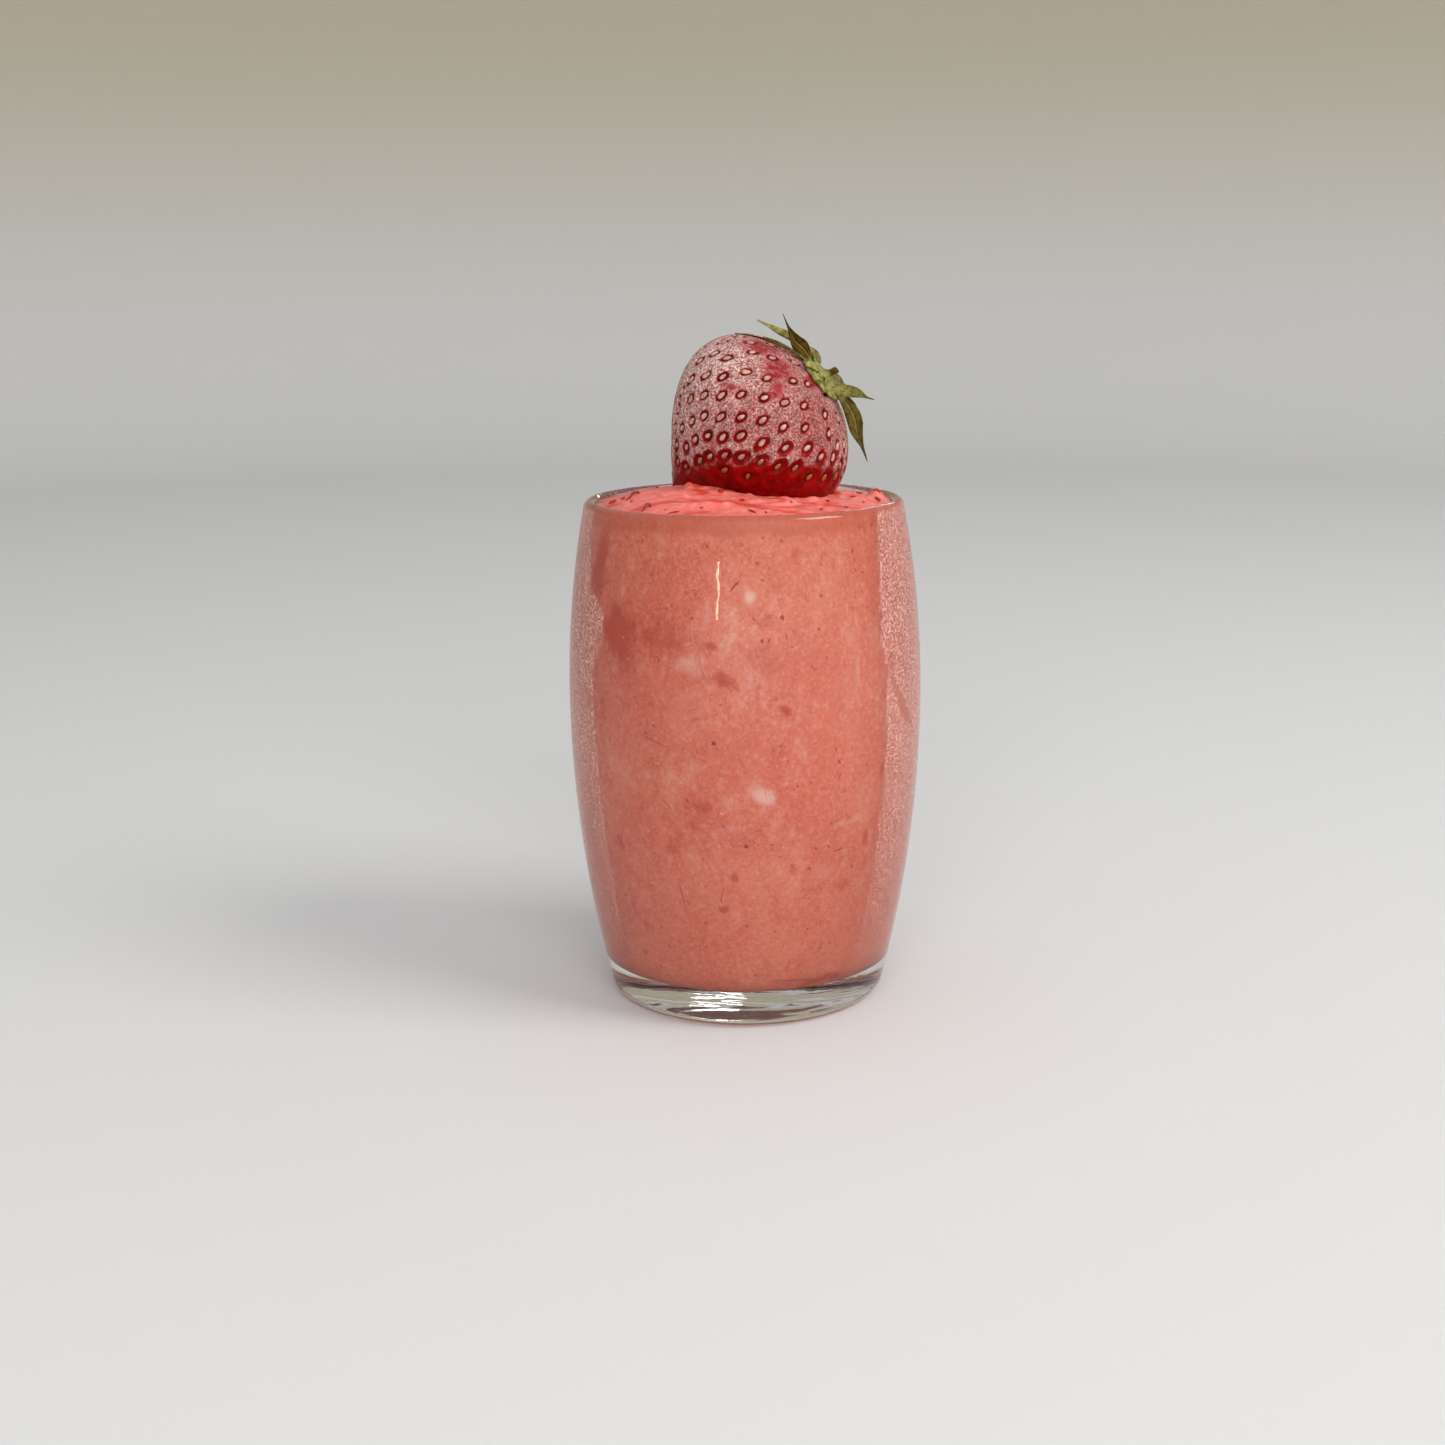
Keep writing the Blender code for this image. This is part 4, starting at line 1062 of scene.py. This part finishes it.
def berry_finish():
    paint = Paint("frosted strawberry skin")
    gap = paint.attribute("seed gap")
    thawed, thin = paint.attribute("thawed"), paint.attribute("thin")
    over = frost_line(paint)
    crystals = paint.noise(0.38 * MM, 5.0, 0.78)
    pepper = paint.cells(0.85 * MM).step(0.24, 0.14)
    clumps = paint.noise(1.5 * MM, 4.0, 0.62)
    broad = paint.noise(6.0 * MM, 3.0, 0.5)
    rim = 0.62 + over.step(6.5 * MM, 0.5 * MM) * 0.38
    veil = (gap - rim + (clumps - 0.5) * 0.7).step(0.05, 0.36)
    melted = (thawed + (clumps - 0.5) * 1.3 + (crystals - 0.5) * 0.8).step(0.15, 1.15)
    melted = melted.math("MAXIMUM", broad.step(0.66, 0.76) * 0.5)
    cover = over.step(-0.5 * MM, 1.3 * MM) * (1.0 - melted * 0.9)
    # Thin frost is partly painted shade, and thick frost partly painted light.
    dense = 0.80 + 0.35 * clumps - thin * 0.50
    grains = 0.42 + 0.62 * crystals.step(0.36, 0.62)
    amount = (cover * veil * dense * grains * (1.0 - pepper * 0.55)).clamp()
    bare = paint.blend(rgb(0.15, 0.001, 0.001), rgb(0.28, 0.002, 0.002), clumps.step(0.35, 0.65))
    slanting = paint.stretched((700.0, 2700.0, 1100.0), (0.3, 0.5, 0.8))
    strokes = paint.noise(1.0, 2.0, 0.6, 0.4, slanting)
    rubbed = paint.blend(rgb(0.30, 0.012, 0.022), rgb(0.62, 0.22, 0.24), strokes.step(0.50, 0.64))
    bare = paint.blend(bare, rubbed, melted * cover.step(0.0, 0.3) * 0.8)
    # The dark ring in each seed's dimple: bare red fruit, with painted shade in the pit.
    ring = paint.blend(bare, rgb(0.09, 0.001, 0.003), gap.step(0.80, 0.55) * 0.75)
    frost = paint.blend(rgb(0.28, 0.115, 0.108), rgb(0.93, 0.71, 0.66), crystals.step(0.38, 0.68))
    colour = paint.blend(ring, frost, amount)
    normal = paint.bump(crystals * cover + clumps * 0.3, 0.14 * MM, 0.7)
    return paint.finish(paint.principled(base_color=colour, roughness=0.14 + 0.45 * cover,
                                         normal=normal, specular_ior_level=0.1))


def seed_finish():
    paint = Paint("seeds of the strawberry")
    cover = frost_line(paint).step(-0.5 * MM, 2.5 * MM)
    tint = paint.noise(0.8 * MM, 2.0)
    gold = paint.blend(rgb(0.24, 0.055, 0.010), rgb(0.32, 0.11, 0.026), tint)
    pale = paint.blend(rgb(0.34, 0.15, 0.11), rgb(0.58, 0.36, 0.29), tint.step(0.3, 0.7))
    colour = paint.blend(gold, pale, cover)
    return paint.finish(paint.principled(base_color=colour, roughness=0.42))


def make_seeds(rng):
    """Every seed is a small ellipsoid of 7 rings of 10 points, pointed towards the leaf end."""
    places, normals, runs = berry_surface(*seed_grid())
    across = np.cross(normals, runs)
    around, along = 10, 7
    turn = np.linspace(0.0, 2 * math.pi, around, endpoint=False)
    fall = np.linspace(0.0, math.pi, along)
    ring = np.sin(fall)[:, None]
    unit = np.stack([np.cos(fall)[:, None] + 0 * turn, ring * np.cos(turn),
                     ring * np.sin(turn)], -1)
    unit[..., 1:] *= (0.86 + 0.14 * np.cos(fall))[:, None, None]
    size = rng.uniform(0.86, 1.1, (len(places), 1, 1))
    sway = rng.normal(0.0, 0.22, (len(places), 1, 1))
    long_way = unit[None, ..., 0] * size * SEED_LENGTH / 2
    wide_way = unit[None, ..., 1] * size * SEED_WIDTH / 2
    deep_way = unit[None, ..., 2] * size * SEED_THICKNESS / 2
    first = long_way * np.cos(sway) - wide_way * np.sin(sway)
    second = long_way * np.sin(sway) + wide_way * np.cos(sway)
    middle = places - normals * (DIMPLE_DEPTH - SEED_ABOVE_DIMPLE)
    grid = (middle[:, None, None, :] + first[..., None] * runs[:, None, None, :]
            + second[..., None] * across[:, None, None, :]
            + deep_way[..., None] * normals[:, None, None, :])
    meshes = [skin("seed", seed) for seed in to_world(grid)]
    piece("berry_seeds", joined("berry_seeds", meshes), seed_finish())


def joined(name, meshes):
    """One mesh from many, which are deleted."""
    points, faces, start = [], [], 0
    for mesh in meshes:
        points.append(mesh_points(mesh))
        faces += [[start + corner for corner in face.vertices] for face in mesh.polygons]
        start += len(mesh.vertices)
        bpy.data.meshes.remove(mesh)
    whole = bpy.data.meshes.new(name)
    whole.from_pydata(np.concatenate(points).tolist(), [], faces)
    whole.shade_smooth()
    whole.update()
    return whole


def sepal_width(share):
    """Half width of a sepal, as a share of its widest, from its root (0) to its point (1)."""
    bulge = 0.35 + 0.65 * np.sin(math.pi * np.minimum(share / 0.85, 1.0) ** 1.5)
    return bulge * (1.0 - share ** 4) + 0.03


def sepal_mesh(name, spec):
    """A leaf folded along its midrib, with how light and how much of a rib each vertex is: it
    follows the berry, lifts off it, twists and waves, and its root is light."""
    azimuth, length, width, lift, lateness, twist, bend, light = spec
    rows, columns = 40, 15
    share = np.linspace(0.0, 1.0, rows)[:, None] + np.zeros(columns)
    side = np.linspace(-1.0, 1.0, columns)[None, :] + np.zeros((rows, 1))
    reach = SEPAL_START + (length * MM - SEPAL_START) * share
    angle = np.interp(reach, BERRY_ARC, BERRY_ANGLES)
    places, normals, runs = berry_surface(angle, math.radians(azimuth) + 0 * share)
    across = np.cross(normals, runs)
    half = width * MM / 2 * sepal_width(share)
    wave = (0.12 * MM * np.sin(7.0 * share + 2.0 * side)
            + 0.05 * MM * np.sin(19.0 * share) * side)
    fold = SEPAL_FOLD * np.abs(side) * half + wave - 0.04 * MM * np.cos(math.pi * side)
    out = side * half
    begun = np.minimum(share / (SEPAL_TURN_SHARE * lateness), 1.0)
    turn = math.radians(twist) * np.sin(math.pi / 2 * begun) ** 2
    sideways = out * np.cos(turn) - fold * np.sin(turn)
    upward = out * np.sin(turn) + fold * np.cos(turn)
    lifted = lift * MM * share ** lateness
    clear = half * np.sin(turn)
    height = SEPAL_HEIGHT + (lifted ** 4 + clear ** 4) ** 0.25
    sway = bend * MM * share ** 2
    middle = places + normals * (height + upward)[..., None] + across * (sideways + sway)[..., None]
    thick = SEPAL_THICKNESS / 2 * (1.0 - 0.75 * np.abs(side) ** 3) * (1.0 - 0.6 * share)
    lean = np.cross(np.gradient(middle, axis=1), np.gradient(middle, axis=0))
    lean /= np.linalg.norm(lean, axis=-1, keepdims=True) + 1e-12
    upper = middle - lean * thick[..., None]
    lower = middle + lean * thick[..., None]
    ring = np.concatenate([upper, lower[:, ::-1]], axis=1)
    mesh = skin(name, to_world(ring)[::-1], False, False, capped=True)
    rib = np.exp(-(side / 0.09) ** 2) + 0.35 * np.exp(-((np.abs(side) - 0.5) / 0.08) ** 2)
    rib = np.concatenate([rib, rib[:, ::-1]], axis=1)[::-1].ravel()
    root = np.concatenate([share, share[:, ::-1]], axis=1)[::-1].ravel()
    return mesh, light + (0.9 - light) * np.clip(1.6 - root / 0.18, 0.0, 1.0), rib


def leaf_finish():
    paint = Paint("sepal green")
    light, rib = paint.attribute("light"), paint.attribute("rib")
    mottle = paint.noise(0.9 * MM, 4.0, 0.6)
    dark = paint.blend(rgb(0.036, 0.014, 0.001), rgb(0.066, 0.038, 0.002), mottle.step(0.35, 0.65))
    fresh = paint.blend(rgb(0.17, 0.155, 0.032), rgb(0.40, 0.39, 0.13), mottle.step(0.38, 0.62))
    colour = paint.blend(dark, fresh, light)
    colour = paint.blend(colour, rgb(0.38, 0.35, 0.11), rib * 0.4)
    normal = paint.bump(mottle + rib * 0.6, 0.08 * MM, 0.6)
    return paint.finish(paint.principled(base_color=colour, roughness=0.45, normal=normal,
                                         specular_ior_level=0.05))


def crown_mesh():
    """A low crown over the leaf end, lens-shaped in section, with a rounded stub of stalk."""
    rings = 14
    reach = np.linspace(0.0, CROWN_RADIUS, rings)
    angle = np.interp(reach, BERRY_ARC, BERRY_ANGLES)
    places, normals, _ = berry_surface(angle, np.zeros(rings))
    taper = 1.0 - (reach / CROWN_RADIUS) ** 2
    under = places + normals * GAP
    over = under + normals * (0.9 * MM * (0.5 + 0.5 * taper))[:, None]
    stub_radius, stub_length = 0.62 * MM, 1.9 * MM
    foot = over[0, 2]
    stub = np.array([(0.0, foot + stub_length), (0.6 * stub_radius, foot + stub_length),
                     (0.95 * stub_radius, foot + 0.93 * stub_length),
                     (0.85 * stub_radius, foot + 0.5 * stub_length),
                     (1.15 * stub_radius, foot + 0.12 * stub_length)])
    ring_profile = np.stack([over[:, 0], over[:, 2]], -1)
    outer = ring_profile[ring_profile[:, 0] > 1.3 * stub_radius]
    profile = np.concatenate([stub, outer, np.stack([under[:, 0], under[:, 2]], -1)[::-1]])
    rows = turned(profile[::-1], 40)
    turns = np.arctan2(rows[..., 1], rows[..., 0])
    reach_out = np.hypot(rows[..., 0], rows[..., 1]) / CROWN_RADIUS
    ripple = np.clip(reach_out - 0.25, 0.0, 0.6)
    rows[..., 2] += 0.16 * MM * np.sin(turns * 13.0) * ripple
    above = np.clip(rows[..., 2] - BERRY_LEAF_END - 0.8 * MM, 0.0, 1.0)
    rows[..., 0] += above * math.tan(math.radians(14.0))
    return skin("crown", to_world(rows))


def make_leaves():
    """All sepals and the crown in one mesh, each vertex knowing how light its green is."""
    meshes, lights, ribs = map(list, zip(*(sepal_mesh(*item) for item in SEPALS.items())))
    crown = crown_mesh()
    above = to_berry(mesh_points(crown))[:, 2] - BERRY_LEAF_END
    lights.append(np.clip(1.0 - (above - 1.2 * MM) / (0.6 * MM), 0.05, 0.8))
    ribs.append(0 * above)
    whole = joined("calyx_leaves", meshes + [crown])
    put_attribute(whole, "light", np.concatenate(lights))
    put_attribute(whole, "rib", np.concatenate(ribs))
    piece("calyx_leaves", whole, leaf_finish(), "calyx")


def floor_finish():
    paint = Paint("pale paper")
    place = paint.node("ShaderNodeSeparateXYZ", None, {0: paint.place()}, out="Z")
    fade = place.step(0.0, 0.35)
    colour = paint.blend(rgb(0.74, 0.75, 0.76), rgb(0.52, 0.48, 0.37), fade)
    return paint.finish(paint.principled(base_color=colour, roughness=0.9))


def make_floor():
    """A round floor that curves up into a low wall, all one pale surface."""
    flat = 0.9
    bend = 0.5
    flat_radii = np.linspace(0.0, flat, 12)
    angles = np.linspace(0.0, math.pi / 2, 24)[1:]
    curve = np.stack([flat + bend * np.sin(angles), bend - bend * np.cos(angles)], -1)
    wall = np.array([(flat + bend, 0.62)])
    profile = np.concatenate([np.stack([flat_radii, 0 * flat_radii], -1), curve, wall])
    profile[:, 1] -= 0.15 * MM
    rows = turned(profile, 96)
    mesh = skin("floor", rows[::-1], first_pole=False)
    obj = bpy.data.objects.new("floor", mesh)
    bpy.context.scene.collection.objects.link(obj)
    mesh.materials.append(floor_finish())


def area_light(name, place, target, size, energy, colour, shape="RECTANGLE"):
    data = bpy.data.lights.new(name, "AREA")
    data.shape = shape
    data.size, data.size_y = size
    data.energy = energy
    data.color = colour
    obj = bpy.data.objects.new(name, data)
    bpy.context.scene.collection.objects.link(obj)
    obj.location = place
    obj.rotation_euler = (Vector(target) - Vector(place)).to_track_quat("-Z", "Y").to_euler()
    obj.visible_camera = False
    return obj


def make_lights():
    world = bpy.data.worlds.new("soft room")
    world.use_nodes = True
    background = world.node_tree.nodes["Background"]
    background.inputs["Color"].default_value = rgb(0.98, 0.98, 1.0)
    background.inputs["Strength"].default_value = 0.5
    bpy.context.scene.world = world
    middle = (0.0, 0.0, 0.06)
    area_light("key", (0.75, -0.35, 0.75), middle, (0.5, 0.5), 5.4, (1.0, 0.97, 0.92))
    front = area_light("front", (0.08, -1.3, 0.38), middle, (1.2, 1.0), 21.0, (1.0, 0.98, 0.95))
    front.visible_glossy = False
    streak = area_light("streak", (-0.29, -0.95, 0.17), middle, (0.022, 0.15), 0.17,
                        (1.0, 0.74, 0.52))
    glint = area_light("glint in the foot", (0.12, 0.8, 0.315), (0.0, 0.0, 0.003),
                       (0.22, 0.03), 0.12, (1.0, 0.96, 0.9), "ELLIPSE")
    streak.visible_diffuse = glint.visible_diffuse = False


def make_camera():
    forward, right, down = camera_axes()
    data = bpy.data.cameras.new("camera")
    data.sensor_width = SENSOR
    data.lens = FOCAL_PIXELS / PHOTO_SIZE * SENSOR
    obj = bpy.data.objects.new("camera", data)
    bpy.context.scene.collection.objects.link(obj)
    turn = Matrix((right, -down, -forward)).transposed().to_4x4()
    obj.matrix_world = Matrix.Translation(CAMERA_PLACE) @ turn
    bpy.context.scene.camera = obj


def main():
    bpy.context.scene.view_settings.view_transform = "Standard"
    rng = np.random.default_rng(5)
    make_camera()
    make_lights()
    make_floor()
    make_glass()
    make_sorbet(rng)
    make_shreds(rng)
    make_skins(rng)
    make_berry()
    make_seeds(rng)
    make_leaves()


main()
